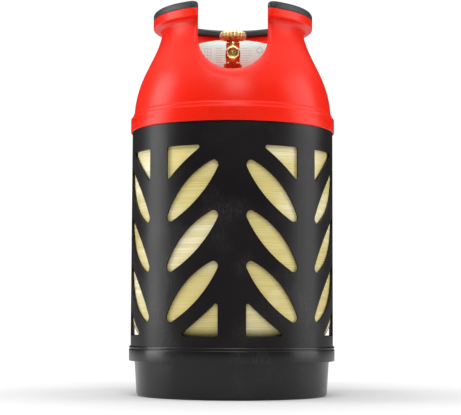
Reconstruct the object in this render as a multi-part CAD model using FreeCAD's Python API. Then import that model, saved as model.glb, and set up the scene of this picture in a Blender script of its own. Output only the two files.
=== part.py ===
"""Composite gas cylinder: a wound vessel in a windowed sleeve, with a stacking foot, a collar and a valve.

Millimetres, +Z up. The origin is at the centre of the foot's underside. The valve outlet and the collar's
notch face -Y. Each function below builds one sub-part in place, and main() writes one STEP per sub-part.
"""

import FreeCAD, Part
import math
import os

V = FreeCAD.Vector
UP = V(0, 0, 1)
FRONT = V(0, -1, 0)
REAR = V(0, 1, 0)

# ---- Driving sizes: the casing ----
sleeve_radius = 150.0         # outside of the windowed sleeve
sleeve_wall = 3.0
socket_wall = 2.5             # how far a socket ring stands out from the sleeve
fit_clearance = 0.25          # between a sleeve end and its socket
foot_height = 51.0            # ground to the underside of the foot's socket ring
foot_socket_height = 22.0     # foot's ring around the sleeve's lower end
foot_setback = 6.0            # the foot's skirt stands this far inside the sleeve's outside
foot_taper = 3.5              # the skirt narrows this much towards the ground
foot_wall = 4.0
foot_flange = 10.5            # width of the foot's flat underside
foot_edge_round = 3.5
ledge_width = 6.0             # the foot's ledge under the cradle
shelf_lip = 1.0               # shelf under the sleeve's lower end, beyond its inside
ring_bevel = 2.0
sleeve_tongue = 12.0          # how deep each sleeve end reaches into its socket
lug_count = 8                 # snap lugs around each end of the sleeve
lug_width = 24.0
lug_height = 3.0
lug_depth = 1.2
cradle_wall = 4.0
cradle_reach = 0.75           # cradle bowl over vessel radius
drain_radius = 30.0
cutter_margin = 1.0           # cutters run this far past what they cut

# ---- Driving sizes: the leaf windows ----
ear_count = 4                 # leaf patterns around the sleeve, two mirrored columns each
leaf_rows = 3
gap_width = 40.4              # plain strip between two patterns
stem_width = 36.8             # plain strip in the middle of a pattern
leaf_width = 30.0
leaf_rib = 17.8               # rib between two leaves
leaf_tip_radius = 7.0
leaf_tilt = 47.4
corner_height = 49.5          # corner window's upright side
corner_width = 58.5           # corner window's level side
corner_reach = 19.5           # lower corner windows below the first leaf
upper_corner_reach = 21.5     # upper corner windows above the last leaf
corner_round = 3.0
corner_bow = 1.2              # the long side of a corner window bows this much
cutter_stand_off = 5.0        # window cutters start this far outside the sleeve
lower_margin = 15.1           # foot socket to the lowest window
upper_margin = 33.64           # highest window to the collar's socket

# ---- Driving sizes: the pressure vessel ----
vessel_gap = 0.8              # vessel to the inside of the sleeve
winding_wall = 3.5
liner_wall = 3.0
dome_ratio = 0.58             # dome height over vessel radius, at the top
lower_dome_ratio = 0.49
lower_dome_lift = 23.9        # lowest window to the start of the lower dome
upper_dome_drop = 10.0        # collar socket down to the start of the upper dome
boss_radius = 23.0
boss_flange_radius = 38.0
boss_flange_thickness = 7.0
mouth_wall = 3.5              # liner wall around and under the boss flange
mouth_lip = 7.0               # how far the liner reaches under the flange
boss_neck_rise = 15.85        # boss above the top of the winding
thread_radius = 13.0
thread_clearance = 0.05
seal_bite = 0.2               # the neck seal reaches this far into the thread's bore
seal_section = 2.6            # cord diameter of the boss and valve seals

# ---- Driving sizes: the collar ----
collar_socket_height = 20.5
collar_wall = 4.0
collar_step = 8.0             # height of the sloped step above the socket
low_bevel = 1.0
shoulder_inset = 2.5          # shoulder's foot inside the sleeve's outside
neck_radius = 105.5           # outside of the wall under the rim
collar_low_pull = (-0.033, 0.47)   # Bezier handle at the shoulder over the wall's height
collar_high_pull = (0.053, -0.38)  # Bezier handle under the rim over the wall's height
rim_radius = 120.0
grip_inner_radius = 97.5
rim_shell_height = 12.5       # collar's own part of the rim
grip_thickness = 11.0         # soft cap on the rim
grip_round = 4.0
grip_key_width = 8.0
grip_key_depth = 4.0
rim_over_wheel = 25.0         # rim above the top of the handwheel
notch_half_width = 50.5
notch_below_hex = 13.5        # notch bottom below the foot of the valve's hexagon
notch_depth_wall = 12.0       # how far the notch's edge wall reaches inwards
notch_overrun = 50.0          # the notch cutter runs this far past the collar
notch_boss_gap = 12.0         # the notch stops this far in front of the boss
floor_gap = 0.9               # collar floor above the winding
floor_wall = 3.0
floor_boss_gap = 1.5
label_half_angle = 42.0
label_height = 66.0
label_arch = 16.5             # rise of the label's top edge
label_margin = 3.5            # red wall left above the label
label_thickness = 0.4
label_floor_gap = 1.0

# ---- Driving sizes: the valve ----
hex_across = 27.0
hex_height = 15.0
valve_flange_radius = 17.0
valve_flange_thickness = 2.5
valve_neck_radius = 10.4
valve_neck_height = 33.0      # hexagon top to the packing nut
stem_length = 24.0
chamber_radius = 6.5
chamber_share = 0.55          # the chamber's floor up the hexagon
packing_thread_radius = 7.6
key_width = 2.4               # key that stops the seat plug turning
key_depth = 0.9
gas_channel_radius = 1.3      # channels along the seat plug
inlet_radius = 3.2
seat_wall = 1.5               # width of the raised seat around the inlet
seat_land = 1.5               # height of the raised seat
outlet_radius = 10.9
outlet_bore = 5.5
outlet_mouth_radius = 7.0
outlet_mouth_depth = 9.0
outlet_reach = 33.0           # outlet face from the valve axis
outlet_rise = 11.5            # outlet axis above the hexagon top
thread_relief = 1.1           # the outlet's shank is this much smaller in radius than its thread
thread_hex_gap = 1.0          # the thread starts this far in front of the hexagon's corner
plug_clearance = 0.2
plug_height = 9.0
seat_disc_thickness = 2.0
seat_disc_radius = 5.2
seat_disc_pocket = 0.5
plug_travel = 3.0             # the seat plug's rise from shut to open
spindle_radius = 4.5
spindle_thread_radius = 3.2
spindle_clearance = 0.05
spindle_flange_radius = 5.9
spindle_flange_thickness = 2.5
spindle_play = 0.1            # thrust flange under the packing nut's skirt
tail_gap = 1.2                # spindle's tail above the bottom of the plug's bore at full rise
packing_nut_across = 18.4
packing_nut_height = 5.0
packing_skirt = 10.0          # the packing nut's threaded skirt inside the valve neck
nut_cone_low = 0.62           # chamfer cone's lower radius over the distance across flats
nut_cone_high = 0.5
o_ring_section = 1.5
o_ring_pitch = 3.0
wheel_radius = 20.7
wheel_thickness = 10.6
wheel_clearance = 0.4         # wheel's hub above the packing nut
wheel_flutes = 18
wheel_flute_radius = 2.3
wheel_flute_offset = 1.0      # flute centres outside the wheel
wheel_chamfer = 1.2
wheel_rim_wall = 4.0
wheel_hub_ratio = 0.55        # hub radius over the packing nut's distance across flats
wheel_under_depth = 3.5
wheel_dish_depth = 2.0
wheel_dish_radius = 14.0
square_half = 2.6             # the spindle's square drive
square_clearance = 0.1
wheel_nut_across = 8.0
wheel_nut_height = 3.2
wheel_screw_radius = 2.0

# ---- Driving sizes: the relief valve on the rear of the valve body ----
relief_boss_radius = 9.0
relief_reach = 31.0           # rear end of the relief boss from the valve axis
relief_bore = 6.0
relief_orifice = 2.4
relief_wall = 3.4             # between the main chamber and the relief chamber
relief_drilling_radius = 1.2
relief_drilling_offset = 8.5
relief_rib_width = 8.0        # rib under the relief boss that holds the drilling
relief_rib_wall = 4.0
poppet_radius = 5.4
poppet_thickness = 2.5
poppet_stem_radius = 1.8
poppet_travel = 2.0
poppet_stop_gap = 0.6         # left between the stem and the plug at full travel
relief_seal_thickness = 1.5
relief_seal_radius = 4.6
spring_wire = 0.9
spring_turns = 5
spring_stem_gap = 1.0
spring_end_gap = 0.05
relief_plug_length = 7.0
relief_plug_bore = 2.4
relief_plug_recess = 0.5
relief_cap_thickness = 1.6
relief_cap_length = 7.0
relief_cap_clearance = 0.02
relief_cap_end_gap = 0.1

# ---- Places worked out from the sizes ----
column_width = math.pi * sleeve_radius / ear_count
leaf_span = column_width - gap_width / 2 - stem_width / 2
tilt = math.radians(leaf_tilt)
leaf_half_length = (leaf_span / 2 - leaf_tip_radius) / math.cos(tilt) + leaf_tip_radius
leaf_rise = 2 * ((leaf_half_length - leaf_tip_radius) * math.sin(tilt) + leaf_tip_radius)
leaf_pitch = (leaf_width + leaf_rib) / math.cos(tilt)

foot_ring_top = foot_height + foot_socket_height
windows_low = foot_ring_top + lower_margin
first_leaf_low = windows_low + corner_reach
windows_high = first_leaf_low + (leaf_rows - 1) * leaf_pitch + leaf_rise + upper_corner_reach
collar_low = windows_high + upper_margin
socket_radius = sleeve_radius + socket_wall
cradle_seat_radius = sleeve_radius - foot_setback - foot_wall

vessel_radius = sleeve_radius - sleeve_wall - vessel_gap
lower_dome_start = windows_low + lower_dome_lift
upper_dome_start = collar_low - upper_dome_drop
upper_dome_height = dome_ratio * vessel_radius
lower_dome_height = lower_dome_ratio * vessel_radius
winding_top = upper_dome_start + upper_dome_height * math.sqrt(1 - (boss_radius / vessel_radius) ** 2)
boss_top = winding_top + boss_neck_rise

hex_low = boss_top + valve_flange_thickness
hex_top = hex_low + hex_height
neck_top = hex_top + valve_neck_height
outlet_height = hex_top + outlet_rise
outlet_thread_start = hex_across / math.sqrt(3) + thread_hex_gap
nut_top = neck_top + packing_nut_height
wheel_low = nut_top + wheel_clearance
wheel_top = wheel_low + wheel_thickness
rim_top = wheel_top + rim_over_wheel
grip_low = rim_top - grip_thickness
rim_low = grip_low - rim_shell_height
rim_inner_radius = neck_radius - collar_wall
notch_low = hex_low - notch_below_hex
shoulder_low = collar_low + collar_socket_height + collar_step
shoulder_radius = sleeve_radius - shoulder_inset
floor_top = winding_top + floor_gap + floor_wall
chamber_low = hex_low + chamber_share * hex_height
seat_height = chamber_low + seat_land


def ring(outer, inner, low, high):
    """Tube around the Z axis."""
    return cylinder(outer, low, high).cut(cylinder(inner, low - cutter_margin, high + cutter_margin))


def cylinder(radius, low, high):
    """Solid cylinder on the Z axis."""
    return Part.makeCylinder(radius, high - low, V(0, 0, low), UP)


def along(radius, start, end, height, direction=REAR):
    """Cylinder along the Y axis at a height, from start to end measured in a direction."""
    return Part.makeCylinder(radius, end - start, V(0, 0, height) + direction * start, direction)


def hexagon(across, low, high):
    """Hexagonal prism with a corner towards the front."""
    corner = across / math.sqrt(3)
    angles = [math.radians(30 + 60 * k) for k in range(7)]
    points = [V(corner * math.cos(angle), corner * math.sin(angle), low) for angle in angles]
    return Part.Face(Part.makePolygon(points)).extrude(V(0, 0, high - low))


def revolve(edges):
    """Solid of revolution around Z from the edges of a closed outline in the XZ plane."""
    return Part.Face(Part.Wire(edges)).revolve(V(0, 0, 0), UP, 360)


def outline(pairs):
    """Closed outline of straight edges in the XZ plane from pairs of radius and height."""
    points = [V(r, 0, z) for r, z in pairs]
    return Part.makePolygon(points + points[:1]).Edges


def torus(radius, section, height):
    """Ring of round section around the Z axis."""
    return Part.makeTorus(radius, section / 2, V(0, 0, height), UP)


# ---- Casing ----
def foot():
    """Stacking skirt with its flat underside, the ledge for the cradle and the sleeve's socket ring."""
    top = sleeve_radius - foot_setback
    low = top - foot_taper
    sleeve_low = foot_ring_top - sleeve_tongue
    bore = sleeve_radius + fit_clearance
    shelf = sleeve_radius - sleeve_wall - shelf_lip
    ledge = foot_height - cradle_wall
    skirt = revolve(outline([
        (low - foot_flange, 0), (low, 0), (top, foot_height), (socket_radius, foot_height),
        (socket_radius, foot_ring_top - ring_bevel), (socket_radius - ring_bevel, foot_ring_top),
        (bore, foot_ring_top), (bore, sleeve_low), (shelf, sleeve_low), (cradle_seat_radius, foot_height),
        (cradle_seat_radius, ledge), (cradle_seat_radius - ledge_width, ledge),
        (cradle_seat_radius - ledge_width, ledge - foot_wall), (low - foot_wall, foot_wall),
        (low - foot_flange, foot_wall)]))
    edge = [e for e in skirt.Edges if e.BoundBox.ZMax < 0.01 and e.BoundBox.XMax > low - 0.01]
    skirt = skirt.makeFillet(min(foot_edge_round, foot_wall * 0.9), edge)
    return skirt.cut(snap_lugs(foot_ring_top - sleeve_tongue / 2, fit_clearance))


def cradle():
    """Bowl that follows the lower dome, with a drain hole and a flange that sits on the foot's ledge."""
    bowl = dome(vessel_radius + cradle_wall, lower_dome_height + cradle_wall).mirror(V(0, 0, 0), UP)
    bowl.translate(V(0, 0, lower_dome_start))
    bowl = bowl.common(cylinder(cradle_reach * vessel_radius, 0, lower_dome_start))
    flange = cylinder(cradle_seat_radius - fit_clearance, foot_height - cradle_wall, foot_height)
    web = bowl.fuse(flange).cut(vessel_solid(0))
    return web.cut(cylinder(drain_radius, 0, lower_dome_start)).removeSplitter()


def sleeve():
    """Windowed sleeve: a tube whose ends reach into the two sockets, with snap lugs near each end."""
    low = foot_ring_top - sleeve_tongue
    high = collar_low + sleeve_tongue
    tube = ring(sleeve_radius, sleeve_radius - sleeve_wall, low, high)
    lugs = [snap_lugs(low + sleeve_tongue / 2, 0), snap_lugs(high - sleeve_tongue / 2, 0)]
    return tube.fuse(lugs).cut(Part.Compound(window_cutters())).removeSplitter()


def snap_lugs(height, grow):
    """Short raised bars around the sleeve at a height, or the pockets for them when grown."""
    half = lug_height / 2 + grow
    outer = sleeve_radius + lug_depth + grow
    band = ring(outer, sleeve_radius - sleeve_wall / 2, height - half, height + half)
    bars = []
    for k in range(lug_count):
        width = lug_width + 2 * grow
        bar = Part.makeBox(sleeve_radius, width, 2 * half, V(sleeve_radius / 2, -width / 2, height - half))
        bar.rotate(V(0, 0, 0), UP, 360.0 * k / lug_count)
        bars.append(bar)
    return band.common(Part.Compound(bars))


def window_cutters():
    """Radial prisms for every window: mirrored columns of leaves with a corner window at each end."""
    cutters = []
    half_step = 180.0 / ear_count
    centre_arc = gap_width / 2 + leaf_span / 2
    centre_angle = math.degrees(centre_arc / sleeve_radius)
    prisms = [leaf_prism(first_leaf_low + leaf_rise / 2 + row * leaf_pitch) for row in range(leaf_rows)]
    prisms += [corner_prism(True), corner_prism(False)]
    for ear in range(ear_count):
        for side in (1, -1):
            for prism in prisms:
                shape = prism.copy()
                if side < 0:
                    shape = shape.mirror(V(0, 0, 0), V(1, 0, 0))
                turn = 2 * half_step * ear + side * centre_angle
                shape.rotate(V(0, 0, 0), UP, turn)
                cutters.append(shape)
    return cutters


def leaf_prism(height):
    """Tilted oval of four arcs, its upper end towards the gap at its left, drawn in front of the -Y face."""
    half_width = leaf_width / 2
    run = leaf_half_length - leaf_tip_radius
    flank = (half_width ** 2 + run ** 2 - leaf_tip_radius ** 2) / (2 * (half_width - leaf_tip_radius))
    drop = flank - half_width
    lean = math.atan2(drop, run)
    tip_x = run + leaf_tip_radius * math.cos(lean)
    tip_z = leaf_tip_radius * math.sin(lean)
    right, left = V(tip_x, 0, tip_z), V(-tip_x, 0, tip_z)
    right_low, left_low = V(tip_x, 0, -tip_z), V(-tip_x, 0, -tip_z)
    edges = [
        Part.Arc(left, V(0, 0, half_width), right).toShape(),
        Part.Arc(right, V(leaf_half_length, 0, 0), right_low).toShape(),
        Part.Arc(right_low, V(0, 0, -half_width), left_low).toShape(),
        Part.Arc(left_low, V(-leaf_half_length, 0, 0), left).toShape()]
    face = Part.Face(Part.Wire(edges))
    face.rotate(V(0, 0, 0), V(0, 1, 0), leaf_tilt)
    face.translate(V(0, -sleeve_radius - cutter_stand_off, height))
    return face.extrude(V(0, sleeve_radius / 3, 0))


def corner_prism(upper):
    """Right-angled corner window: by the stem at the top of a column, or by the gap at its foot."""
    sign = 1 if upper else -1
    corner_x = sign * leaf_span / 2
    corner_z = windows_high if upper else windows_low
    a = V(corner_x, 0, corner_z)
    b = V(corner_x - sign * corner_width, 0, corner_z)
    c = V(corner_x, 0, corner_z - sign * corner_height)
    across = corner_width / 2 - corner_bow
    down = corner_height / 2 - corner_bow
    bulge = V(corner_x - sign * across, 0, corner_z - sign * down)
    upright = Part.LineSegment(c, a).toShape()
    level = Part.LineSegment(a, b).toShape()
    edges = [upright, level, Part.Arc(b, bulge, c).toShape()]
    face = Part.Face(Part.Wire(edges))
    face.translate(V(0, -sleeve_radius - cutter_stand_off, 0))
    solid = face.extrude(V(0, sleeve_radius / 3, 0))
    corners = [e for e in solid.Edges if abs(e.BoundBox.YLength - sleeve_radius / 3) < 1e-3]
    return solid.makeFillet(corner_round, corners)


# ---- Pressure vessel ----
def vessel_half(inset):
    """Radius, upper dome height and lower dome height of the vessel's outside moved inwards by inset."""
    radius = vessel_radius - inset
    upper = upper_dome_height - inset
    lower = lower_dome_height - inset
    return radius, upper, lower


def vessel_solid(inset):
    """Closed solid of the vessel's shape: a cylinder between two half ellipsoids."""
    radius, upper, lower = vessel_half(inset)
    top = dome(radius, upper)
    top.translate(V(0, 0, upper_dome_start))
    bottom = dome(radius, lower).mirror(V(0, 0, 0), UP)
    bottom.translate(V(0, 0, lower_dome_start))
    return cylinder(radius, lower_dome_start, upper_dome_start).fuse([top, bottom]).removeSplitter()


def dome(radius, height):
    """Upper half of an ellipsoid of revolution with its base at the origin."""
    ellipse = Part.Ellipse(V(0, 0, 0), radius, height)
    arc = ellipse.toShape(0, math.pi / 2)
    arc.rotate(V(0, 0, 0), V(1, 0, 0), 90)
    edges = [Part.LineSegment(V(0, 0, 0), V(radius, 0, 0)).toShape(), arc,
             Part.LineSegment(V(0, 0, height), V(0, 0, 0)).toShape()]
    return revolve(edges)


def winding():
    """Wound glass-fibre shell over the liner, open at the boss."""
    shell = vessel_solid(0).cut(vessel_solid(winding_wall))
    return shell.cut(cylinder(boss_radius, upper_dome_start, boss_top))


def liner():
    """Blow-moulded liner whose mouth wraps the edge of the boss flange."""
    shell = vessel_solid(winding_wall).cut(vessel_solid(winding_wall + liner_wall))
    low = flange_low()
    mouth = cylinder(boss_flange_radius + mouth_wall, low - mouth_wall, boss_top)
    body = shell.fuse(mouth.common(vessel_solid(winding_wall)))
    opening = cylinder(boss_flange_radius - mouth_lip, upper_dome_start, boss_top)
    return body.cut(opening).cut(cylinder(boss_flange_radius, low, boss_top)).removeSplitter()


def flange_low():
    """Underside of the boss flange, held in the liner's mouth."""
    radius, upper, _ = vessel_half(winding_wall)
    edge = upper_dome_start + upper * math.sqrt(1 - (boss_flange_radius / radius) ** 2)
    return edge - boss_flange_thickness


def boss():
    """Metal neck insert: a flange under the winding, a neck and a threaded bore."""
    low = flange_low()
    flange = cylinder(boss_flange_radius, low, boss_top).common(vessel_solid(winding_wall))
    bore = cylinder(thread_radius, low - cutter_margin, boss_top + cutter_margin)
    body = flange.fuse(cylinder(boss_radius, low, boss_top)).cut(bore)
    groove = torus(boss_flange_radius, seal_section, low + boss_flange_thickness / 2)
    return body.cut(groove).cut(neck_seal_cord()).removeSplitter()


def boss_seal():
    """Cord seal around the boss flange."""
    whole = torus(boss_flange_radius, seal_section, flange_low() + boss_flange_thickness / 2)
    return whole.common(cylinder(boss_flange_radius, upper_dome_start, boss_top))


def neck_seal_cord():
    """Whole cord at the mouth of the boss."""
    return torus(thread_radius + seal_section / 2 - seal_bite, seal_section, boss_top)


def neck_seal():
    """Cord seal under the valve's flange, pressed flat at its top."""
    low = boss_top - seal_section
    pressed = neck_seal_cord().common(cylinder(valve_flange_radius, low, boss_top))
    return pressed.cut(cylinder(thread_radius, low, boss_top + cutter_margin))


# ---- Collar ----
def collar_profile(inset):
    """Bezier edge of the collar wall from the step above the socket to the underside of the rim."""
    low = V(shoulder_radius - inset, 0, shoulder_low)
    high = V(neck_radius - inset, 0, rim_low)
    rise = rim_low - shoulder_low
    curve = Part.BezierCurve()
    low_handle = low + V(collar_low_pull[0] * rise, 0, collar_low_pull[1] * rise)
    high_handle = high + V(collar_high_pull[0] * rise, 0, collar_high_pull[1] * rise)
    curve.setPoles([low, low_handle, high_handle, high])
    return curve.toShape()


def collar():
    """Socket ring, shoulder, neck and the shell of the rim, with the front notch and an inner floor."""
    outside = collar_solid(0)
    cavity = collar_solid(collar_wall)
    wall = outside.cut(cavity)
    jamb = outside.cut(collar_solid(notch_depth_wall)).common(notch(collar_wall))
    rim = ring(rim_radius, rim_inner_radius, rim_low, grip_low)
    socket = collar_socket()
    body = wall.fuse([jamb, rim, socket, collar_floor()])
    body = body.cut(notch(0)).cut(grip_key(0.0)).removeSplitter()
    return body.cut(snap_lugs(collar_low + sleeve_tongue / 2, fit_clearance))


def collar_solid(inset):
    """Closed solid under the collar wall's surface moved inwards by inset."""
    curve = collar_profile(inset)
    low = curve.Vertexes[0].Point
    high = curve.Vertexes[-1].Point
    foot_point = V(0, 0, low.z)
    head = V(high.x, 0, grip_low)
    edges = [Part.LineSegment(foot_point, low).toShape(), curve, Part.LineSegment(high, head).toShape(),
             Part.LineSegment(head, V(0, 0, grip_low)).toShape(),
             Part.LineSegment(V(0, 0, grip_low), foot_point).toShape()]
    return revolve(edges)


def collar_socket():
    """Ring that takes the sleeve's upper end, with the sloped step up to the shoulder."""
    top = collar_low + collar_socket_height
    bore = sleeve_radius + fit_clearance
    sleeve_end = collar_low + sleeve_tongue
    inner = shoulder_radius - collar_wall
    return revolve(outline([
        (bore, collar_low), (socket_radius - low_bevel, collar_low), (socket_radius, collar_low + low_bevel),
        (socket_radius, top - ring_bevel), (socket_radius - ring_bevel, top),
        (shoulder_radius + ring_bevel / 3, top + collar_step / 3),
        (shoulder_radius, shoulder_low), (inner, shoulder_low), (inner, sleeve_end), (bore, sleeve_end)]))


def collar_floor():
    """Floor between the wall and the boss, which keeps dirt off the vessel."""
    slab = cylinder(shoulder_radius, floor_top - floor_wall, floor_top).common(collar_solid(collar_wall / 2))
    low = floor_top - floor_wall - cutter_margin
    return slab.cut(cylinder(boss_radius + floor_boss_gap, low, floor_top + cutter_margin))


def notch(grow):
    """U-shaped prism through the front wall, moved outwards by grow."""
    radius = notch_half_width + grow
    centre = notch_low + notch_half_width
    start = V(0, -socket_radius - notch_overrun, centre)
    length = socket_radius + notch_overrun - boss_radius - notch_boss_gap
    height = rim_top + notch_overrun - centre
    round_end = Part.makeCylinder(radius, length, start, REAR)
    slot = Part.makeBox(2 * radius, length, height, V(-radius, start.y, centre))
    return round_end.fuse(slot)


def grip_key(clearance):
    """Ring-shaped key on the underside of the soft grip."""
    middle = (rim_radius + rim_inner_radius) / 2
    half = grip_key_width / 2 - clearance
    low = grip_low - grip_key_depth + clearance
    return ring(middle + half, middle - half, low, grip_low + cutter_margin)


def grip():
    """Soft cap along the rim, a C in plan, keyed into the collar."""
    cap = ring(rim_radius, grip_inner_radius, grip_low, rim_top)
    edges = [e for e in cap.Edges if e.BoundBox.ZMin > rim_top - 0.01]
    cap = cap.makeFillet(grip_round, edges)
    key = grip_key(fit_clearance)
    return cap.fuse(key).cut(notch(0)).removeSplitter()


def label():
    """Thin printed sheet on the inside of the rear wall, arched along its top edge."""
    sheet = collar_solid(collar_wall).cut(collar_solid(collar_wall + label_thickness))
    high = grip_low - label_margin
    low = max(high - label_height, floor_top + label_floor_gap)
    half = neck_radius * math.sin(math.radians(label_half_angle))
    arch_radius = (half ** 2 + label_arch ** 2) / (2 * label_arch)
    arch = Part.makeCylinder(arch_radius, 2 * neck_radius, V(0, 0, high - arch_radius), REAR)
    panel = Part.makeBox(2 * half, 2 * neck_radius, high - low, V(-half, 0, low))
    return sheet.common(arch).common(panel)


# ---- Valve ----
def valve_body():
    """Forged body: stem, flange, hexagon, neck, outlet and relief boss, with all the bores."""
    stem_low = boss_top - stem_length
    stem = cylinder(thread_radius - thread_clearance, stem_low, hex_low)
    flange = cylinder(valve_flange_radius, boss_top, hex_low)
    nut = hexagon(hex_across, hex_low, hex_top)
    neck = cylinder(valve_neck_radius, hex_low, neck_top)
    shank = along(outlet_radius - thread_relief, 0, outlet_reach, outlet_height, FRONT)
    thread = along(outlet_radius, outlet_thread_start, outlet_reach, outlet_height, FRONT)
    rear = along(relief_boss_radius, 0, relief_reach, outlet_height)
    body = stem.fuse([flange, nut, neck, shank, thread, rear, relief_rib()])
    seat = ring(inlet_radius + seat_wall, inlet_radius, chamber_low - cutter_margin, seat_height)
    skirt_low = neck_top - packing_skirt
    top = neck_top + cutter_margin
    keyways = plug_keys(0.0, chamber_low, skirt_low)
    chamber = cylinder(chamber_radius, chamber_low, top).fuse(keyways).cut(seat)
    front_end = outlet_reach + cutter_margin
    rear_end = relief_reach + cutter_margin
    seat_end = relief_seat() + cutter_margin
    bores = [
        cylinder(packing_thread_radius, skirt_low, top),
        cylinder(inlet_radius, stem_low - cutter_margin, seat_height),
        along(outlet_bore, 0, front_end, outlet_height, FRONT),
        along(outlet_mouth_radius, outlet_reach - outlet_mouth_depth, front_end, outlet_height, FRONT),
        along(relief_bore, relief_seat(), rear_end, outlet_height),
        along(relief_orifice, relief_drilling_offset, seat_end, outlet_height),
        relief_drilling()]
    return body.cut(chamber).cut(Part.Compound(bores)).removeSplitter()


def plug_keys(clearance, low, high):
    """Keys along both sides of the seat plug, or their keyways without clearance."""
    width = key_width - 2 * clearance
    reach = chamber_radius + key_depth - clearance
    return Part.makeBox(2 * reach, width, high - low, V(-reach, -width / 2, low))


def relief_rib():
    """Rib between the hexagon and the relief boss, around the upright drilling."""
    depth = relief_drilling_offset + relief_rib_wall
    low_corner = V(-relief_rib_width / 2, 0, hex_low)
    return Part.makeBox(relief_rib_width, depth, outlet_height - hex_low, low_corner)


def relief_drilling():
    """Upright drilling that carries gas from the stem to the relief seat."""
    base = V(0, relief_drilling_offset, boss_top - stem_length - cutter_margin)
    return Part.makeCylinder(relief_drilling_radius, outlet_height - base.z, base, UP)


def packing_nut():
    """Hexagon with a threaded skirt that holds the spindle down."""
    bore = spindle_radius + spindle_clearance
    skirt = ring(packing_thread_radius - thread_clearance, bore, neck_top - packing_skirt, neck_top)
    low_radius = nut_cone_low * packing_nut_across
    high_radius = nut_cone_high * packing_nut_across
    cone = Part.makeCone(low_radius, high_radius, packing_nut_height, V(0, 0, neck_top), UP)
    head = hexagon(packing_nut_across, neck_top, nut_top).common(cone)
    head = head.cut(cylinder(bore, neck_top - cutter_margin, nut_top + cutter_margin))
    groove = [torus(spindle_radius + o_ring_section / 2, o_ring_section, z) for z in o_ring_heights()]
    return skirt.fuse(head).cut(Part.Compound(groove)).removeSplitter()


def o_ring_heights():
    """Heights of the two cord seals inside the packing nut's skirt."""
    return [neck_top - packing_skirt + k * o_ring_pitch for k in (1, 2)]


def spindle_o_rings():
    """Two cord seals between the spindle and the packing nut."""
    rings = []
    for z in o_ring_heights():
        whole = torus(spindle_radius + o_ring_section / 2, o_ring_section, z)
        stem = cylinder(spindle_radius + spindle_clearance, z - o_ring_section, z + o_ring_section)
        rings.append(whole.cut(stem))
    return Part.Compound(rings)


def spindle():
    """Stem with a thrust flange, a threaded tail in the seat plug and a square for the handwheel."""
    flange_top = neck_top - packing_skirt - spindle_play
    tail_low = plug_low() + seat_disc_thickness + plug_travel + tail_gap
    tail = cylinder(spindle_thread_radius, tail_low, flange_top)
    flange = cylinder(spindle_flange_radius, flange_top - spindle_flange_thickness, flange_top)
    stem = cylinder(spindle_radius, flange_top, wheel_low)
    drive = Part.makeBox(2 * square_half, 2 * square_half, wheel_thickness - wheel_dish_depth,
                         V(-square_half, -square_half, wheel_low))
    screw = cylinder(wheel_screw_radius, wheel_low, wheel_top - wheel_dish_depth + wheel_nut_height)
    return tail.fuse([flange, stem, drive, screw]).removeSplitter()


def plug_low():
    """Underside of the seat plug when the valve is shut."""
    return seat_height + seat_disc_thickness - seat_disc_pocket


def seat_plug():
    """Carrier that rises and falls on the spindle's thread and holds the seat disc."""
    low = plug_low()
    high = low + plug_height + plug_travel
    body = cylinder(chamber_radius - plug_clearance, low, high).fuse(plug_keys(plug_clearance, low, high))
    channels = [cylinder(gas_channel_radius, low - cutter_margin, high + cutter_margin) for _ in range(4)]
    for k, channel in enumerate(channels):
        turn = math.radians(45 + 90 * k)
        channel.translate(V(chamber_radius * math.cos(turn), chamber_radius * math.sin(turn), 0))
    body = body.cut(Part.Compound(channels))
    bore_low = low + seat_disc_thickness
    bore = cylinder(spindle_thread_radius + spindle_clearance, bore_low, high + cutter_margin)
    pocket = cylinder(seat_disc_radius, low - cutter_margin, low + seat_disc_pocket)
    return body.cut(bore).cut(pocket)


def seat_disc():
    """Soft disc that closes on the raised seat."""
    return cylinder(seat_disc_radius, seat_height, plug_low() + seat_disc_pocket)


def handwheel():
    """Fluted wheel with a dished top, a hub and a square hole."""
    wheel = cylinder(wheel_radius, wheel_low, wheel_top)
    rim_edges = [e for e in wheel.Edges if isinstance(e.Curve, Part.Circle)]
    wheel = wheel.makeChamfer(wheel_chamfer, rim_edges)
    cut_low = wheel_low - cutter_margin
    cut_height = wheel_thickness + 2 * cutter_margin
    flutes = []
    for k in range(wheel_flutes):
        centre = V(wheel_radius + wheel_flute_offset, 0, cut_low)
        flute = Part.makeCylinder(wheel_flute_radius, cut_height, centre, UP)
        flute.rotate(V(0, 0, 0), UP, 360.0 * k / wheel_flutes)
        flutes.append(flute)
    dish = cylinder(wheel_dish_radius, wheel_top - wheel_dish_depth, wheel_top + cutter_margin)
    hub = wheel_hub_ratio * packing_nut_across
    under = ring(wheel_radius - wheel_rim_wall, hub, cut_low, wheel_low + wheel_under_depth)
    side = square_half + square_clearance
    square = Part.makeBox(2 * side, 2 * side, cut_height, V(-side, -side, cut_low))
    return wheel.cut(Part.Compound(flutes)).cut(Part.Compound([dish, under])).cut(square)


def wheel_nut():
    """Small nut that holds the wheel on the spindle."""
    low = wheel_top - wheel_dish_depth
    high = low + wheel_nut_height
    bore = cylinder(wheel_screw_radius + spindle_clearance, low - cutter_margin, high + cutter_margin)
    return hexagon(wheel_nut_across, low, high).cut(bore)


# ---- Relief valve ----
def relief_seat():
    """Distance of the relief seat from the valve axis."""
    return chamber_radius + relief_wall


def relief_seal():
    """Soft disc on the poppet's face."""
    start = relief_seat()
    return along(relief_seal_radius, start, start + relief_seal_thickness, outlet_height)


def poppet_back():
    """Spring side of the poppet's disc from the valve axis."""
    return relief_seat() + relief_seal_thickness + poppet_thickness


def poppet():
    """Disc and guide stem pressed against the relief seat by the spring."""
    start = relief_seat() + relief_seal_thickness
    stem_end = plug_face() - poppet_travel - poppet_stop_gap
    disc = along(poppet_radius, start, poppet_back(), outlet_height)
    return disc.fuse(along(poppet_stem_radius, start, stem_end, outlet_height))


def plug_face():
    """Inner face of the relief plug from the valve axis."""
    return relief_reach - relief_plug_length


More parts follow.
